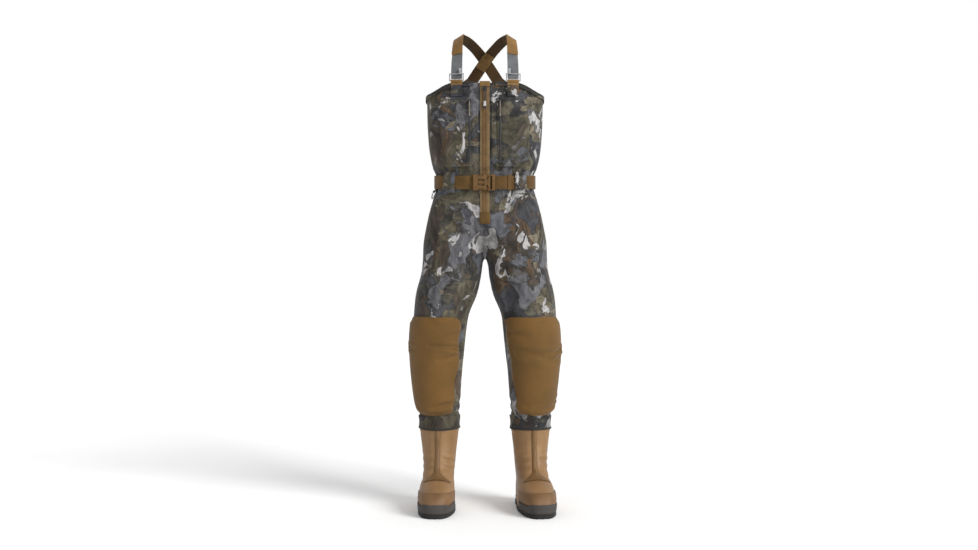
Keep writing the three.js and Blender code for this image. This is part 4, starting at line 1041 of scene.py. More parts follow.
CLOTH = 2.4
bib = object_from(
    cut_at(shell, WAIST, True), "bib_shell", CAMO, "garment",
    ["bib_front_left", "bib_front_right", "bib_back"], "camouflage_shell",
)
trousers = object_from(
    cut_at(shell, WAIST, False), "trouser_shell", CAMO, "garment",
    ["hip_front_left", "hip_front_right", "hip_back", "leg_left", "leg_right"],
    "camouflage_shell",
)
bpy.data.objects.remove(shell)
for piece in (bib, trousers):
    piece.data.materials.append(LINING)
    soften(piece)
    modify(piece, "SOLIDIFY", thickness=CLOTH * MM, offset=-1, material_offset=1)
    print(piece.name, len(piece.data.polygons), "faces before smoothing")

# %% [markdown]
# ## Knee pads
# Each pad is a second layer of heavy brown cloth with thin foam behind it, sewn round its
# edge. It is laid over the folded leg as a shallow dome, then simulated with its edge held, so
# that it bags a little, and finally lifted clear of the cloth beneath wherever they touch.

# %% Keep a piece clear of the cloth under it
def keep_above(piece, lift):
    for v in piece.data.vertices:
        hit, normal, _, _ = shell_tree.find_nearest(v.co)
        if hit and (v.co - hit).dot(normal) < lift * MM:
            v.co = hit + normal * lift * MM


print("the shell has", len(bib.data.vertices) + len(trousers.data.vertices), "points")

# %% Creases in the pads
PAD_FOLDS = [
    # side, from (across, z) to (across, z), width, depth; across is -1 inside and 1 outside
    (-1, -1.0, 514, -0.2, 524, 6, 6.5), (-1, -0.95, 492, -0.45, 478, 6, 4.0),
    (-1, -0.95, 566, -0.55, 552, 6, 3.0), (-1, 0.6, 517, 0.2, 510, 6, 3.5),
    (-1, 0.8, 600, 0.3, 604, 4, 2.0), (-1, -0.9, 338, -0.2, 322, 7, 4.0),
    (1, 0.62, 510, 0.1, 500, 6, 5.0), (1, -0.6, 502, 0.6, 478, 13, 3.0),
    (1, 0.6, 484, 0.1, 470, 8, 3.0), (1, 0.7, 334, -0.4, 312, 6, 4.5),
    (1, -0.8, 566, -0.4, 556, 7, 2.5), (1, 0.8, 350, 0.4, 338, 6, 3.0),
]
PAD_ACROSS, PAD_ALONG, PAD_HALF = 48, 72, 110  # cells across and along, and half its width


def pad_groove(sign, across, z):
    """How deep the pad is creased at a place, in millimetres; each crease fades as it runs."""
    total = 0.0
    for side, a0, z0, a1, z1, width, depth in PAD_FOLDS:
        if side != sign:
            continue
        dx, dz, px, pz = (a1 - a0) * PAD_HALF, z1 - z0, (across - a0) * PAD_HALF, z - z0
        t = clamp((px * dx + pz * dz) / (dx * dx + dz * dz))
        off = math.hypot(px - t * dx, pz - t * dz) / width
        valley, ridge = math.exp(-off * off), 0.4 * math.exp(-((off - 2) ** 2))
        total += depth * (1 - 0.8 * t) * (valley - ridge)
    return total


print(len(PAD_FOLDS), "creases")


# %% Where a pad lies, and the pads
def pad_place(sign):
    """A low dome round the front of a leg; the two pads differ a little, as sewn ones do."""
    surface = leg(sign)
    low, high = (-38, -50) if sign < 0 else (-40, -62)

    def place(u, v):
        across = 2 * u - 1
        inner, outer = clamp((-across - 0.6) / 0.4), clamp((across - 0.35) / 0.6)
        drop = (30, 10) if sign < 0 else (12, 26)
        top = PAD_TOP - 2 - drop[0] * (1 - math.sqrt(1 - inner**2)) - drop[1] * outer**2
        bottom = 303 + 7 * inner**2 + 5 * max(0, across) ** 2 - 4 * math.cos(across * 1.5)
        z = lerp(bottom, top, v)
        wander = 3.0 * math.sin(z / 19 + sign) * max(0, -across) ** 3
        angle = sign * (lerp(lerp(low, high, smooth(v * 1.3)), 108, u) + wander)
        dome = (1 - across**6) * (1 - (2 * v - 1) ** 8)
        lip = 4.5 * math.exp(-(((v - 0.05) / 0.035) ** 2)) * (1 - smooth((across - 0.2) / 0.5))
        out = 1.2 + 6.4 * dome + lip - 0.5 * pad_groove(sign, across, z) * (1 - (2 * v - 1) ** 10)
        return surface(angle, z) + normal_at(surface, angle, z) * out

    return place


def pad_hold(v):
    return 1.0 if v.index in rim else 0.08


for side, sign in SIDES:
    pad = draped(
        f"knee_pad_{side}_made", KNEE_CLOTH, pad_place(sign), PAD_ACROSS, PAD_ALONG,
        nodes=[f"knee_pad_{side}"], slot="knee_cloth",
    )
    outward(pad, (sign * ANKLE_X, ANKLE_Y))
    inset = {}  # how many rows each point is from the sewn edge
    for i in range(len(pad.data.vertices)):
        column, row = i % (PAD_ACROSS + 1), i // (PAD_ACROSS + 1)
        inset[i] = min(column, PAD_ACROSS - column, row, PAD_ALONG - row)
    rim = {i for i, rows in inset.items() if rows == 0}
    pad.parent = None
    simulate(pad, pad_hold, lambda v: 0.9, 14, 0.04, 5.0, 0.3)
    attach(pad, "garment")
    for v in pad.data.vertices:  # the creases are pressed in again, deeper than they fell
        across = 2 * (v.index % (PAD_ACROSS + 1)) / PAD_ACROSS - 1
        v.co -= v.normal * 1.6 * pad_groove(sign, across, v.co.z / MM) * MM
    keep_above(pad, 0.9)
    for v in pad.data.vertices:  # the edge is sewn down on the cloth
        hit, normal, _, _ = shell_tree.find_nearest(v.co)
        v.co = v.co.lerp(hit + normal * 0.8 * MM, (1.0, 0.7, 0.25, 0.0)[min(3, inset[v.index])])
    soften(pad)
    thicken(pad, 2.2, 0.6)
    print(pad.name, "sewn down on", len(rim), "points")

# %% [markdown]
# ## Cuffs, binding and pockets
# The cuff is a band sewn round the end of each leg, with a hem that hangs over the boot. It is
# a grid wrapped round the leg's surface and welded where its ends meet.

# %% Ankle cuffs
for side, sign in SIDES:
    surface = leg(sign)

    def cuff_place(u, v, surface=surface, sign=sign):
        angle, z = -180 + 360 * u, lerp(HEM, CUFF_TOP + 2, v)
        crease = 1.3 * math.sin(math.radians(angle * 3) + sign) * math.sin(v * 6.5 + u * 9)
        crease += 0.8 * math.sin(math.radians(angle * 7) + 1) * smooth(v * 2)
        out = 1.6 + 1.1 * (1 - v) ** 3 + crease * smooth(v * 4)
        z += 1.2 * math.sin(math.radians(angle * 2) + sign)
        return surface(angle, z) + normal_at(surface, angle, z) * out

    # the cuff's darker cloth is painted shade
    cuff = draped(
        f"ankle_cuff_{side}_made", CAMO_PAINTED_SHADE, cuff_place, 88, 16, 2.0, closed=True,
        nodes=[f"ankle_cuff_{side}"], slot="camouflage_shell",
    )
    for v in cuff.data.vertices:
        if v.co.z > (CUFF_TOP - 7) * MM:
            hit, normal, _, _ = shell_tree.find_nearest(v.co)
            v.co = hit + normal * 0.5 * MM
    draped(
        f"cuff_hem_{side}", BINDING,
        lambda u, v, p=cuff_place: p(u, 0.0) + Vector((0, 0, lerp(-0.8, 5, v))),
        88, 3, 2.6, closed=True, slot="dark_binding",
    )
    print(cuff.name, "and its hem")

# %% [markdown]
# The binding is a tape folded over the bib's raw edge. A curve with a bevel would give a round
# bead; a grid that is led up the outside, over the edge and down the inside gives a real fold.


# %% Binding folded over the bib's edge
BINDING_DARK = 3.6  # how far down from the edge it is dark; below, it is shell cloth


def binding_place(u, v):
    angle = lerp(4.2, 355.8, u)
    top = bib_top(angle)
    turn = math.pi * clamp((v - 0.38) / 0.24)
    lift = lerp(2.0, -5.6, (1 - math.cos(turn)) / 2)
    z = top - 12 * clamp(1 - v / 0.38) - 10 * clamp((v - 0.62) / 0.38) + 1.8 * math.sin(turn)
    z += 0.35 * math.sin(angle * 1.9)
    return body(angle, z) + normal_at(body, angle, min(z, BIB_TOP)) * lift


binding = draped(
    "bib_binding_made", BINDING, binding_place, 220, 18, 0.9,
    nodes=["bib_binding"], slot="dark_binding",
)
binding.data.materials.append(CAMO)
for face in binding.data.polygons:  # only the folded edge itself is dark
    face.material_index = int(face.center.z < top_here(face.center) - BINDING_DARK * MM)
print("binding", len(binding.data.polygons), "faces")

# %% [markdown]
# Each chest pocket is a panel with round lower corners. It stands a little off the bib at its
# lower edge, which gives it its shadow, and lies flat under the zip. Its stitches are real
# small shapes, because a drawn line would not catch the light.

# %% Chest pockets
POCKET_ZIP_X = 48
POCKET_IN, POCKET_OUT, POCKET_LOW, POCKET_HIGH, CORNER = 21, 138, 1088, 1306, 22


def pocket_place(sign):
    def place(u, v):
        x = lerp(POCKET_IN, POCKET_OUT, u)
        into = clamp(1 - min(x - POCKET_IN, POCKET_OUT - x) / CORNER)
        corner = CORNER * (1 - math.sqrt(1 - into * into))
        z = lerp(POCKET_LOW + corner, POCKET_HIGH - 0.4 * corner, v)
        near_zip = math.exp(-(((x - POCKET_ZIP_X) / 15) ** 2)) * smooth((z - 1082) / 8)
        edge = clamp(min(u, 1 - u) * 9) * clamp((1 - v) * 6)
        stand = 5.0 * (1 - v) ** 3 * (1 - 0.85 * near_zip) * smooth(min(u, 1 - u) * 5 + 0.15)
        ripple = 0.7 * math.sin(x / 13 + z / 31) * (1 - near_zip) * edge
        here = front(sign * x, z)
        return here + normal_at(front, sign * x, z) * (0.9 + stand + ripple)

    return place


for side, sign in SIDES:
    pocket = draped(
        f"chest_pocket_{side}_made", CAMO, pocket_place(sign), 44, 52,
        nodes=[f"chest_pocket_{side}"], slot="camouflage_shell",
    )
    outward(pocket, (0, BODY_Y))
    thicken(pocket, 1.6, 0.5)
    print(pocket.name, POCKET_OUT - POCKET_IN, "mm wide")

# %% Stitch rows round the pockets
rows = []
for side, sign in SIDES:
    place, inset_u, inset_v = pocket_place(sign), 0.035, 0.02
    corners = [(inset_u, 0.97), (inset_u, inset_v), (1 - inset_u, inset_v), (1 - inset_u, 0.97)]
    row = []
    for (u0, v0), (u1, v1) in zip(corners, corners[1:]):
        for t in steps(0, 1, 24)[:-1]:
            u, v = lerp(u0, u1, t), lerp(v0, v1, t)
            point = place(u, v)
            out = normal_at(front, point.x, point.z)
            row.append((point + out * 1.6, out))
    rows.append(row)
stitches("pocket_stitches", DARK_THREAD, rows)

# %% [markdown]
# ## Zips
# A waterproof zip is a coil under a flexible coating. It shows as two low ribs with a fine
# groove between them, on a woven tape. Modelling each tooth would cost much and show nothing,
# so the coil is a strip with that profile.

# %% Strips laid on the front
STRIP_EDGE = 0.3


def strip(name, material, xs, zs, profile, cells, thick, **rest):
    """A strip down the front; profile(t) is its lift from edge to edge, in millimetres."""
    x0, x1, z0, z1 = *xs, *zs

    def place(u, v):
        x, z = lerp(x0, x1, u), lerp(z0, z1, v)
        return front(x, z) + normal_at(front, x, z) * profile(2 * u - 1)

    piece = outward(draped(name, material, place, *cells, **rest), (0, BODY_Y))
    return thicken(piece, thick, STRIP_EDGE)


def coil_lift(t):
    rib = math.sqrt(max(0.0, 1 - ((abs(t) - 0.5) / 0.52) ** 2))
    return 1.5 + 0.85 * rib - (0.5 if abs(t) < 0.05 else 0)


print("the coil's ribs stand", round(coil_lift(0.5) - coil_lift(0), 2), "mm over its groove")

# %% The centre zip
PATCH_LOW, PATCH_HIGH = 910, 944
strip(
    "centre_zip_tape_made", TAPE, (-15, 15), (914, BIB_TOP), lambda t: 0.4, (10, 90), 0.95,
    nodes=["centre_zip_tape"], slot="zip_tape",
)
strip(
    "centre_zip_coil", COIL, (-8, 8), (922, BIB_TOP - 2), coil_lift, (20, 120), 0.7,
    nodes=["centre_zip_teeth"], slot="zip_coil",
)
strip(
    "centre_zip_garage_made", TAN_WEB, (-16, 16), (BIB_TOP - 13, BIB_TOP + 3),
    lambda t: 3.5 - 1.6 * t**8, (16, 6), 1.3, nodes=["centre_zip_garage"], slot="tan_webbing",
)
strip(
    "centre_zip_end_patch_made", BELT_WEB, (-16, 16), (PATCH_LOW, PATCH_HIGH),
    lambda t: 3.7 - 2.2 * t**8, (16, 8), 1.4, nodes=["centre_zip_end_patch"],
    slot="webbing",
)
print("centre zip laid from", BIB_TOP, "down to", PATCH_LOW)

# %% A box and a cross of stitches on the end patch
STITCH_IN, STITCH_LIFT, PATCH_SEAM = 3.5, 4.9, 13.2
low, high = PATCH_LOW + STITCH_IN, PATCH_HIGH - STITCH_IN
rows = []
for z0, z1 in ((low, low), (high, high), (low, high), (high, low)):
    row = []
    for t in steps(0, 1, 10):
        x = lerp(-PATCH_SEAM, PATCH_SEAM, t)
        out = normal_at(front, x, lerp(z0, z1, t))
        row.append((front(x, lerp(z0, z1, t)) + out * STITCH_LIFT, out))
    rows.append(row)
stitches("end_patch_stitches", DARK_THREAD, rows)

# %% [markdown]
# A pocket zip hides under a welt of shell cloth and shows only a thin black line of coil. Both
# lie in one flat plane, because the slider has to run straight.

# %% Pocket zips
for side, sign in SIDES:
    middle = sign * POCKET_ZIP_X
    face_y = front(middle, 1200).y

    def flat_strip(name, material, half, z0, z1, lift, thick, cells, **rest):
        def place(u, v):
            x = middle + lerp(-half, half, u)
            round_edge = 0.5 * (2 * u - 1) ** 6
            return Vector((x, face_y - lift + round_edge, lerp(z0, z1, v)))

        piece = outward(draped(name, material, place, *cells, **rest), (0, BODY_Y))
        return thicken(piece, thick, STRIP_EDGE)

    # the welt's darker cloth is painted shade
    flat_strip(
        f"pocket_zip_welt_{side}", CAMO_PAINTED_SHADE, 11, 1094, 1298, 3.4, 1.0, (10, 30),
        nodes=[f"pocket_zip_tape_{side}"], slot="zip_tape",
    )
    flat_strip(
        f"pocket_zip_coil_{side}", BLACK, 2.6, 1097, 1296, 4.6, 0.7, (4, 30), slot="zip_coil",
    )
    print(side, "pocket zip at y", round(face_y, 1))

# %% [markdown]
# A slider is a small casting, copied from the frame and rounded. Its pull is a loop of cord
# with a moulded tab; its far end is black. Each rides on its own body, so that the slider
# runs and the pull swings on it.


# %% The shape of a pull
def pull_shape(
    name, cord, x, y, z, length, tab_width, tab_length, cord_radius, body_name, node_name
):
    """A cord loop with a moulded tab: a bar, two strands and a tapered, rounded tab."""
    bm = bmesh.new()
    across = Matrix.Rotation(math.pi / 2, 4, "Y")
    spot = Matrix.Translation(Vector((x, y, z)) * MM)
    bmesh.ops.create_cone(
        bm, cap_ends=True, segments=14, radius1=1.3 * MM, radius2=1.3 * MM,
        depth=2 * tab_width * 0.42 * MM, matrix=spot @ across,
    )
    strand = length - tab_length + 3
    for s in (-1, 1):
        spread = Vector((x + s * cord_radius * 1.05, y, z - strand / 2)) * MM
        bmesh.ops.create_cone(
            bm, cap_ends=True, segments=12, radius1=cord_radius * MM,
            radius2=cord_radius * MM, depth=strand * MM, matrix=Matrix.Translation(spread),
        )
    cord_faces = len(bm.faces)
    made = bmesh.ops.create_cube(bm, size=1)["verts"]
    low = z - length + tab_length / 2
    for v in made:
        taper = 0.82 if v.co.z > 0 else 1.0
        v.co = Vector((
            x + v.co.x * tab_width * taper, y + v.co.y * 3.0, low + v.co.z * tab_length
        )) * MM
    edges = list({e for v in made for e in v.link_edges})
    bmesh.ops.bevel(
        bm, geom=edges, offset=1.0 * MM, offset_type="OFFSET", affect="EDGES", segments=3,
        profile=0.5, material=-1, clamp_overlap=True,
    )
    bm.faces.ensure_lookup_table()
    tab = set(bm.faces[cord_faces:])
    end = (z - length + tab_length * 0.36) * MM
    whole = [*tab, *{e for f in tab for e in f.edges}, *{v for f in tab for v in f.verts}]
    cut = bmesh.ops.bisect_plane(bm, geom=whole, plane_co=(0, 0, end), plane_no=(0, 0, 1))["geom"]
    for face in tab.union(g for g in cut if isinstance(g, bmesh.types.BMFace)):
        if face.is_valid:
            face.material_index = 2 if face.calc_center_median().z < end else 1
    piece = object_from(bm, name, cord, body_name, [node_name], "pull_cord")
    piece.data.materials.append(PALE if tab_length > 15 else cord)
    piece.data.materials.append(BLACK)
    print(name, length, "mm long")
    return piece


# %% Sliders and pulls, each hung from its hinge
CENTRE_HINGE_Y, CENTRE_HINGE_Z = -94.65, 1331
POCKET_HINGE_Y, POCKET_HINGE_Z = -95.46, 1291
rounded("centre_zip_slider", BLACK, "centre_slider", "black_plastic", 0.8)
pull_shape(
    "centre_zip_pull_made", DARK_CORD, 0, CENTRE_HINGE_Y, CENTRE_HINGE_Z, 64, 9, 24, 1.1,
    "centre_pull", "centre_zip_pull",
)
for side, sign in SIDES:
    rounded(
        f"pocket_zip_slider_{side}", BLACK, f"pocket_slider_{side}", "black_plastic", 0.7
    )
    pull_shape(
        f"pocket_zip_pull_{side}_made", CORD, sign * POCKET_ZIP_X, POCKET_HINGE_Y,
        POCKET_HINGE_Z, 50, 4.6, 10, 0.85, f"pocket_pull_{side}", f"pocket_zip_pull_{side}",
    )
print("zips closed")

# %% [markdown]
# ## Belt
# The wading belt is one length of webbing, straight behind its buckle and lying on the body
# elsewhere. A closed grid follows that line, a little off the cloth, and dips in front as a
# belt does under the weight of its buckle.

# %% Where the belt runs
BELT_Z, BELT_DIP, BELT_LIFT, BELT_FLAT, BELT_REACH, BELT_HIGH = 1046, 9, 5.4, 62, 90, 42
BELT_THICK = 2.0


def belt_middle(angle):
    return BELT_Z - BELT_DIP * math.cos(math.radians(angle))


def on_body(angle, z, lift):
    return body(angle, z) + normal_at(body, angle, z) * lift


flat_y = (front(0, 1037) + normal_at(front, 0, 1037) * BELT_LIFT).y
reach_y = on_body(angle_at(BELT_REACH, BELT_Z), BELT_Z - BELT_DIP, BELT_LIFT).y


def belt(angle):
    p = on_body(angle, belt_middle(angle), BELT_LIFT)
    if math.cos(math.radians(angle)) < 0 or abs(p.x) > BELT_REACH:
        return p
    p.y = lerp(flat_y, reach_y, clamp((abs(p.x) - BELT_FLAT) / (BELT_REACH - BELT_FLAT)))
    return p


def belt_place(u, v):
    angle = lerp(0.3, 359.7, u)
    along = belt(angle + 0.5) - belt(angle - 0.5)
    along.z = 0
    out = along.cross(Vector((0, 0, 1))).normalized()
    wave = 0.35 * math.sin(angle * 0.21) * smooth(abs((angle + 180) % 360 - 180) / 60 - 0.6)
    return belt(angle) + out * wave + Vector((0, 0, lerp(-BELT_HIGH / 2, BELT_HIGH / 2, v)))


web = draped(
    "belt_webbing_made", BELT_WEB, belt_place, 240, 6, 0, nodes=["belt_webbing"], slot="webbing",
)
outward(web, (0, BODY_Y))
thicken(web, BELT_THICK, 0.6, segments=3)
print("belt laid", BELT_HIGH, "mm wide")

# %% [markdown]
# Three loops of shell cloth carry the belt. Each is sewn flat above and below it and bridges
# over it in between. The loops' rise and lift are two short lists read side by side.

# %% Belt loops
LOOP_FROM, LOOP_TO = angle_at(91.5, BELT_Z), angle_at(124.5, BELT_Z)
LOOP_RISE = [-34, -28, -24, -20, 20, 24, 28, 34]
LOOP_UP = [0, 0, 0.45, 1, 1, 0.45, 0, 0]


def loop_place(angles):
    def place(u, v):
        at = v * (len(LOOP_RISE) - 1)
        i = min(int(at), len(LOOP_RISE) - 2)
        rise_here = lerp(LOOP_RISE[i], LOOP_RISE[i + 1], at - i)
        share = lerp(LOOP_UP[i], LOOP_UP[i + 1], at - i)
        angle = lerp(*angles, u)
        z = belt_middle(angle) + rise_here
        return on_body(angle, z, lerp(1.9, 9.3, smooth(share)))

    return place


for side, angles in (
    ("right", (LOOP_FROM, LOOP_TO)),
    ("left", (-LOOP_TO, -LOOP_FROM)),
    ("back", (171, 189)),
):
    loop = draped(
        f"belt_loop_{side}_made", CAMO, loop_place(angles), 12, 42,
        nodes=[f"belt_loop_{side}"], slot="camouflage_shell",
    )
    outward(loop, (0, BODY_Y))
    thicken(loop, 1.9, 0.5)
    print(loop.name, "over", [round(a) for a in angles], "degrees")

# %% [markdown]
# The buckle is a side-release one. Its two halves, its two spring arms and the sliding keeper
# each ride on their own body. The frame already has their true shape; what it lacks is the
# rounding of every edge, which is what makes moulded plastic look moulded.

# %% Buckle, keeper and ring
rounded("buckle_female", BROWN, "garment", "brown_plastic", 0.9)
rounded("buckle_male", BROWN, "male_buckle", "brown_plastic", 0.9)
rounded("buckle_prong_upper", BROWN, "upper_prong", "brown_plastic", 0.5)
rounded("buckle_prong_lower", BROWN, "lower_prong", "brown_plastic", 0.5)
rounded("belt_keeper", BELT_WEB, "keeper", "webbing", 0.6)
rounded("ring_tab", BINDING, "garment", "dark_binding", 0.5)
rounded("ring", STEEL, "hip_ring", "bright_metal", 0, 2)
print("belt buckled")

# %% [markdown]
# ## Braces
# Grey elastic rises from each frame and is sewn under brown webbing, which goes over the
# shoulder, crosses behind under a stitched patch, and is sewn to the back. Each strap is a
# narrow grid laid along stations of point and direction, thickened both ways. The route
# comes in three parts: up to the shoulder, down behind, and flat on the back panel.

# %% Sizes of the braces
SHOULDER, ANCHOR_Z, ARC_Y, BACK_REACH, TOP_X, BRACE_X = 1511, 1355.5, 30, 125, 82, 88
GAP, STRAP_LIFT, CROSS, BACK_FALL, BACK_MIDDLE = 0.35, 2.95, 56, 128, 1383
BRACE_WIDTH, ELASTIC_WIDTH, STRAP_THICK, LEAN = 37, 35, 2.0, 0.51
cross_side = BACK_REACH * math.cos(math.radians(CROSS))
cross_fall = BACK_FALL * math.sin(math.radians(CROSS))
bend = BACK_REACH * BACK_FALL / math.hypot(cross_side, cross_fall) ** 3
CROSS_GAP = 1 + GAP / 2 + 0.05 * BRACE_WIDTH**2 * bend  # so that crossed straps clear
print("where they cross, each strap lies", round(CROSS_GAP, 2), "mm off the middle")


# %% Stations in front, behind and on the back panel
def front_station(sign, angle):
    level = normal_at(front, sign * BRACE_X, BIB_TOP - 20)
    foot = front(sign * BRACE_X, BIB_TOP - 20)
    foot.z = ANCHOR_Z
    foot += level * STRAP_LIFT
    s, c = math.sin(math.radians(angle)), math.cos(math.radians(angle))
    point = Vector((
        lerp(foot.x, sign * TOP_X, smooth(angle / 90)),
        ARC_Y - (ARC_Y - foot.y) * c,
        foot.z + 6 + (SHOULDER - ANCHOR_Z - 6) * s,
    ))
    over = s * min(1, angle / 40)
    return point, (level * c + Vector((sign * LEAN, 0, 0.86)) * over).normalized()


def back_station(sign, angle):
    s, c = math.sin(math.radians(angle)), math.cos(math.radians(angle))
    point = Vector((
        sign * TOP_X * (1 - angle / CROSS), ARC_Y + BACK_REACH * s, BACK_MIDDLE + BACK_FALL * c
    ))
    tilt = LEAN * (1 - smooth(angle / 40))
    return point, Vector((sign * tilt, s * BACK_FALL / BACK_REACH, c)).normalized()


def panel_station(sign, z):
    edge = BIB_TOP - EDGE_DROP + 6
    angle = -sign * lerp(136, 131, (edge - z) / 50)
    lift = lerp(GAP, 2 * GAP + 1.5, clamp((z - edge + 42) / 12)) + 1
    n = normal_at(body, angle, z)
    return body(angle, z) + n * (lift + 0.6), n


print("the shoulder is at", [round(v) for v in front_station(1, 90)[0]])


# %% A strap along its stations
def strap(name, material, stations, width, thick, **rest):
    """A strap along its stations; its faces lie half the thickness each side of them."""
    count = len(stations)
    across_at = []
    for i, (point, normal) in enumerate(stations):
        ahead, behind = stations[min(i + 1, count - 1)][0], stations[max(i - 1, 0)][0]
        run = (ahead - behind).normalized()
        across_at.append((point, normal.cross(run).normalized()))

    def place(u, v):
        i = round(v * (count - 1))
        point, side = across_at[i]
        return point + side * lerp(-width / 2, width / 2, u)

    piece = draped(name, material, place, 6, count - 1, **rest)
    if piece.data.polygons[0].normal.dot(stations[0][1]) < 0:
        piece.data.flip_normals()
    soften(piece)
    thicken(piece, thick, 0.35, offset=0, material_offset=1)
    print(name, "on", count, "stations")
    return piece


def moved(stations, out):
    """The same stations, moved off the body by a distance or by out(i) at each."""
    return [(p + n * (out(i) if callable(out) else out), n) for i, (p, n) in enumerate(stations)]


# %% Elastic, webbing, patch and fittings
PATCH_EDGE = BIB_TOP - 8  # below this height shell cloth covers the anchors

for side, sign in SIDES:
    low, low_normal = front_station(sign, 0)
    start = (Vector((low.x, low.y, ANCHOR_Z + 5)), low_normal)
    rising = [start] + [front_station(sign, a) for a in steps(1, 36, 18)]
    strap(
        f"brace_elastic_{side}_made", ELASTIC, rising, ELASTIC_WIDTH, STRAP_THICK,
        nodes=[f"brace_elastic_{side}"], slot="elastic",
    )
    lap, nearer = 2.7, (-CROSS_GAP if sign > 0 else CROSS_GAP)
    over = moved([front_station(sign, a) for a in steps(32, 90, 20)], lap)
    falling_angles = steps(4, 88, 28)
    share = [clamp(1 - (abs(a - CROSS) - 24) / 14) for a in falling_angles]
    falling = moved(
        [back_station(sign, a) for a in falling_angles],
        lambda i: lerp(lap, nearer, share[i]),
    )
    sewn = [panel_station(sign, z) for z in steps(1322, 1248, 8)]
    webbing = strap(
        f"brace_webbing_{side}_made", BRACE_WEB, over + falling + sewn, BRACE_WIDTH,
        STRAP_THICK, nodes=[f"brace_webbing_{side}"], slot="webbing",
    )
    webbing.data.materials.append(BRACE_BACK_SHADED)  # painted shade: the face turned to the wearer is darker
    anchor = rounded(f"brace_anchor_{side}", TAN_WEB, "garment", "tan_webbing", 0.4)
    anchor.data.materials.append(CAMO)  # a patch of shell cloth covers its sewn end
    bm = bmesh.new()
    bm.from_mesh(anchor.data)
    sliced(bm, PATCH_EDGE)
    for face in bm.faces:
        face.material_index = int(face.calc_center_median().z < PATCH_EDGE * MM)
    bm.to_mesh(anchor.data)
    bm.free()
    rounded(f"brace_frame_{side}", STEEL, "garment", "bright_metal", 0.9)
    rounded(f"brace_catch_{side}", STEEL, f"catch_{side}", "bright_metal", 0.4)
patch = moved([back_station(1, CROSS + a) for a in steps(-12, 12, 12)], -CROSS_GAP - 2.4)
strap(
    "brace_cross_patch_made", TAN_WEB, patch, 36, 1.4,
    nodes=["brace_cross_patch"], slot="tan_webbing",
)
print("braces crossed")

# %% [markdown]
# ## Boots
# A rubber boot is moulded on a last: a smooth shaft and a few rounded waves over the ankle,
# with a crease where the foot turns up into it. The upper is a fine grid on the boot's
# surface, moved in and out by a sum of such waves; sculpting them by hand would not repeat
# from boot to boot.

# %% Relief of the upper
def boot_relief(angle, z):
    """The moulded waves, in millimetres, outwards."""
    a = abs((angle + 180) % 360 - 180)
    side_on = smooth((a - 12) / 10) * math.exp(-(((a - 42) / 34) ** 2))
    ankle = math.exp(-(((z - 145) / 32) ** 4))
    waves = 2.3 * side_on * ankle * math.sin((z + 0.3 * a) / 3.9)
    arch = 108 - 0.16 * a  # the crease where the foot turns up into the shaft
    instep = -2.6 * math.exp(-(((z - arch) / 7) ** 2)) * (1 - smooth((a - 60) / 30))
    collar = 1.4 * smooth((z - 240) / 4) * (1 - smooth((z - 250) / 4))
    heel = 1.6 * smooth((a - 118) / 8) * (1 - smooth((z - 92 + 0.1 * (180 - a)) / 5))
    panel = 0.9 * smooth((a - 24) / 5) * (1 - smooth((a - 70) / 8)) * smooth((z - 168) / 8)
    panel *= 1 - smooth((z - 232) / 8)
    slump = 0.6 * math.sin(z / 23 + math.radians(angle * 2)) * smooth((z - 120) / 60)
    foxing = 1.5 * (1 - smooth((z - 26) / 3))  # the thicker band just over the sole
    return waves + instep + collar + heel - panel + slump + foxing


print("the heel's counter stands out", round(boot_relief(180, 60), 1), "mm")


# %% The upper
def angle_row(u):
    """Angles closer together round the toe, where the boot curves most."""
    t = lerp(-180, 180, u)
    return t - 14 * math.sin(math.radians(2 * t))


def make_upper(side, sign):
    surface = boot(sign)

    def place(u, v):
        angle, z = angle_row(u), lerp(14.5, BOOT_TOP - 2, v)
        n = normal_at(surface, angle, z)
        return surface(angle, z) + n * (boot_relief(angle, z) - 0.3)

    upper = draped(
        f"boot_{side}_upper_made", BOOT_RUBBER, place, 120, 112, closed=True,
        nodes=[f"boot_{side}_upper"], slot="boot_rubber",
    )
    modify(upper, "SOLIDIFY", thickness=3.5 * MM, offset=-1)
    return upper


print("a boot is", 2 * SHAFT, "mm wide at its shaft")

# %% [markdown]
# The toe cap and the bumper are extra layers of rubber, pressed on before the boot is cured.
# Both are patches of the same surface, lifted in the middle and let down at their edges.

# %% Toe cap and bumper
def make_toe_piece(side, sign, name, material, slot, low, high, out):
    """A patch round the toe from low(t) to high(t), where t runs from -1 to 1 across it."""
    surface = boot(sign)

    def place(u, v):
        t = 2 * u - 1
        angle = TOE_TURN * t
        z = lerp(low(t), high(t), v)
        edge = 1 - max(abs(t), abs(2 * v - 1)) ** 10
        n = normal_at(surface, angle, z)
        return surface(angle, z) + n * (0.6 + out * edge)

    piece = draped(
        f"boot_{side}_{name}_made", material, place, 60, 18,
        nodes=[f"boot_{side}_{name}"], slot=slot,
    )
    outward(piece, (sign * ANKLE_X, ANKLE_Y - 90))
    modify(piece, "SOLIDIFY", thickness=1.2 * MM, offset=1)
    return piece


def bumper_top(t):
    """Higher over the middle of the toe than at its sides."""
    return 36 + 9 * (1 - smooth((abs(t) - 0.3) / 0.18))


def cap_top(t):
    return 74 - 7 * t * t


TOE_TURN = 66.0  # how far round each side they reach, in degrees
CAP_LOW, BUMPER_LOW = 40, 15
print("the cap is", cap_top(0) - CAP_LOW, "mm high")

# %% [markdown]
# A rib runs up the shin and flares over the instep; the flared arms lie along the crease there,
# and their dark rubber is painted shade of it. Its half width is a short list by height,
# and it swells towards its middle line, so it is highest where it is thickest in real rubber.

# %% Shin rib
# the widest rows, at the foot, lay the rib's dark rubber along the instep crease: painted shade
RIB_HALF = [(103, 45), (106, 38), (110, 25), (115, 14), (122, 9.5), (HEM, 7.8)]
RIB_LOW = RIB_HALF[0][0]


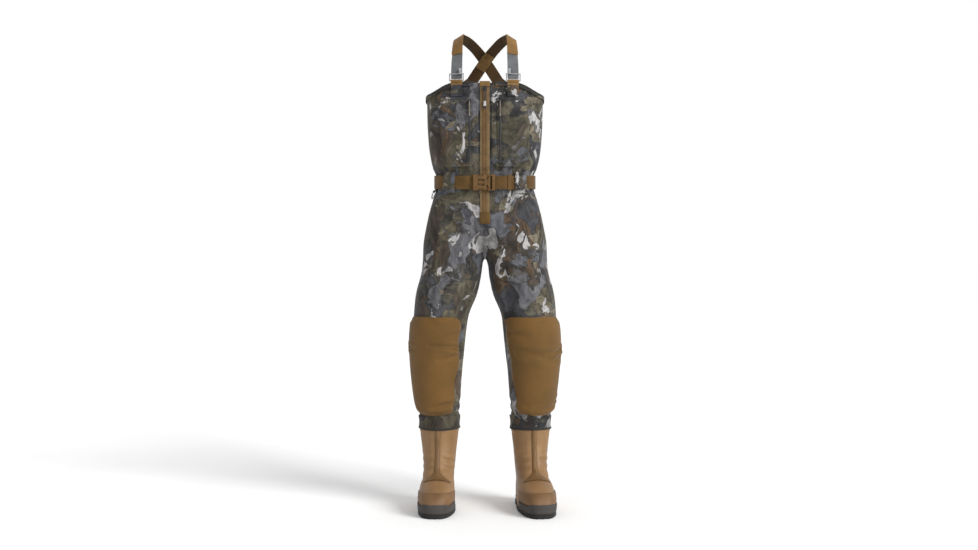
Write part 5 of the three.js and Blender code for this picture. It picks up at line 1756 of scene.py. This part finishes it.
def make_rib(side, sign):
    surface = boot(sign)

    def place(u, v):
        t = 2 * u - 1
        z = lerp(RIB_LOW, HEM - 1, v**1.25)
        half = read(RIB_HALF, z)[0]
        z -= 11 * t * t * (1 - smooth(v * 7))
        n = normal_at(surface, t * half, z)
        wedge = 2.4 * math.exp(-(((z - 116) / 12) ** 2)) * (1 - abs(t)) ** 2
        swell = 3.6 * (1 - t * t) * smooth((z - 104) / 14) + 0.4 + wedge
        return surface(t * half, z) + n * (0.7 + swell)

    rib = draped(
        f"boot_{side}_shin_rib_made", RIB_RUBBER_AND_SHADE, place, 16, 72,
        nodes=[f"boot_{side}_shin_rib"], slot="rib_rubber",
    )
    outward(rib, (sign * ANKLE_X, ANKLE_Y))
    modify(rib, "SOLIDIFY", thickness=1.0 * MM, offset=-1)
    return rib


print("the rib is", HEM - 1 - RIB_LOW, "mm high")

# %% [markdown]
# The sole is a rand round the boot, with a fine groove, and lugs under it. The lugs are set in
# from the edge, so that from the side the sole has one smooth dark line.

# %% Lugs
LUG_HIGH, LUG_STEP, LUG_INSET = 5, 10, 3.2
EDGE_LUG, MIDDLE_LUG = (9.5, 8.5), (9, 9)  # how deep and how wide
RAND_LOW, RAND_HIGH, RAND_AT, SOLE_GROW = 2.4, 15.2, 20, 3.5


def add_lug(bm, spot, heading, size):
    deep, wide = size
    turn = Matrix.Rotation(heading, 4, "Z")
    shape = Matrix.Diagonal((deep * MM, wide * MM, LUG_HIGH * MM, 1))
    place = Matrix.Translation(Vector((spot.x, spot.y, LUG_HIGH / 2)) * MM)
    bmesh.ops.create_cube(bm, size=1, matrix=place @ turn @ shape)


def add_lugs(bm, edge_of, sign):
    """A row of lugs along the edge, and a third as many nearer the middle."""
    middle = Vector((sign * ANKLE_X, ANKLE_Y - 60, RAND_AT))
    count = 0
    for angle in range(-180, 180, LUG_STEP):
        p, n = edge_of(angle, RAND_AT), normal_at(edge_of, angle, RAND_AT)
        heading = math.atan2(n.y, n.x)
        add_lug(bm, p - n * (EDGE_LUG[0] / 2 + LUG_INSET), heading, EDGE_LUG)
        count += 1
        if (angle + 180) % (3 * LUG_STEP) == 0:
            add_lug(bm, p.lerp(middle, 0.54), heading, MIDDLE_LUG)
            count += 1
    return count


print("lugs stand", LUG_HIGH, "mm high")


# %% The sole
def make_sole(side, sign):
    edge_of = boot(sign, SOLE_GROW)

    def place(u, v):
        angle = angle_row(u)
        z = lerp(RAND_LOW, RAND_HIGH, v)
        groove = 0.9 * math.exp(-(((z - 10.2) / 1.1) ** 2))
        p = edge_of(angle, RAND_AT)
        n = normal_at(edge_of, angle, RAND_AT)
        return Vector((p.x, p.y, z)) - n * groove

    bm = bmesh.new()
    bmesh.ops.create_grid(bm, x_segments=120, y_segments=10, size=0.5)
    for v in bm.verts:
        v.co = place(v.co.x + 0.5, v.co.y + 0.5) * MM
    welded(bm, 0.05)
    bmesh.ops.holes_fill(bm, edges=[e for e in bm.edges if e.is_boundary], sides=0)
    bmesh.ops.recalc_face_normals(bm, faces=bm.faces)
    lugs = add_lugs(bm, edge_of, sign)
    sole = object_from(
        bm, f"boot_{side}_outsole_made", OUTSOLE_WITH_SHADOW, "garment", [f"boot_{side}_outsole"],
        "sole_rubber",
    )
    modify(sole, "BEVEL", width=0.7 * MM, segments=2, limit_method="ANGLE")
    print(side, "sole:", lugs, "lugs")
    return sole


# %% Both boots, piece by piece
for side, sign in SIDES:
    make_upper(side, sign)
    make_toe_piece(
        side, sign, "toe_cap", CAP_RUBBER, "toe_cap_rubber", lambda t: CAP_LOW, cap_top, 1.3
    )
    make_toe_piece(
        side, sign, "toe_bumper", SOLE_RUBBER, "bumper_rubber", lambda t: BUMPER_LOW,
        bumper_top, 3.0,
    )
    make_rib(side, sign)
    make_sole(side, sign)
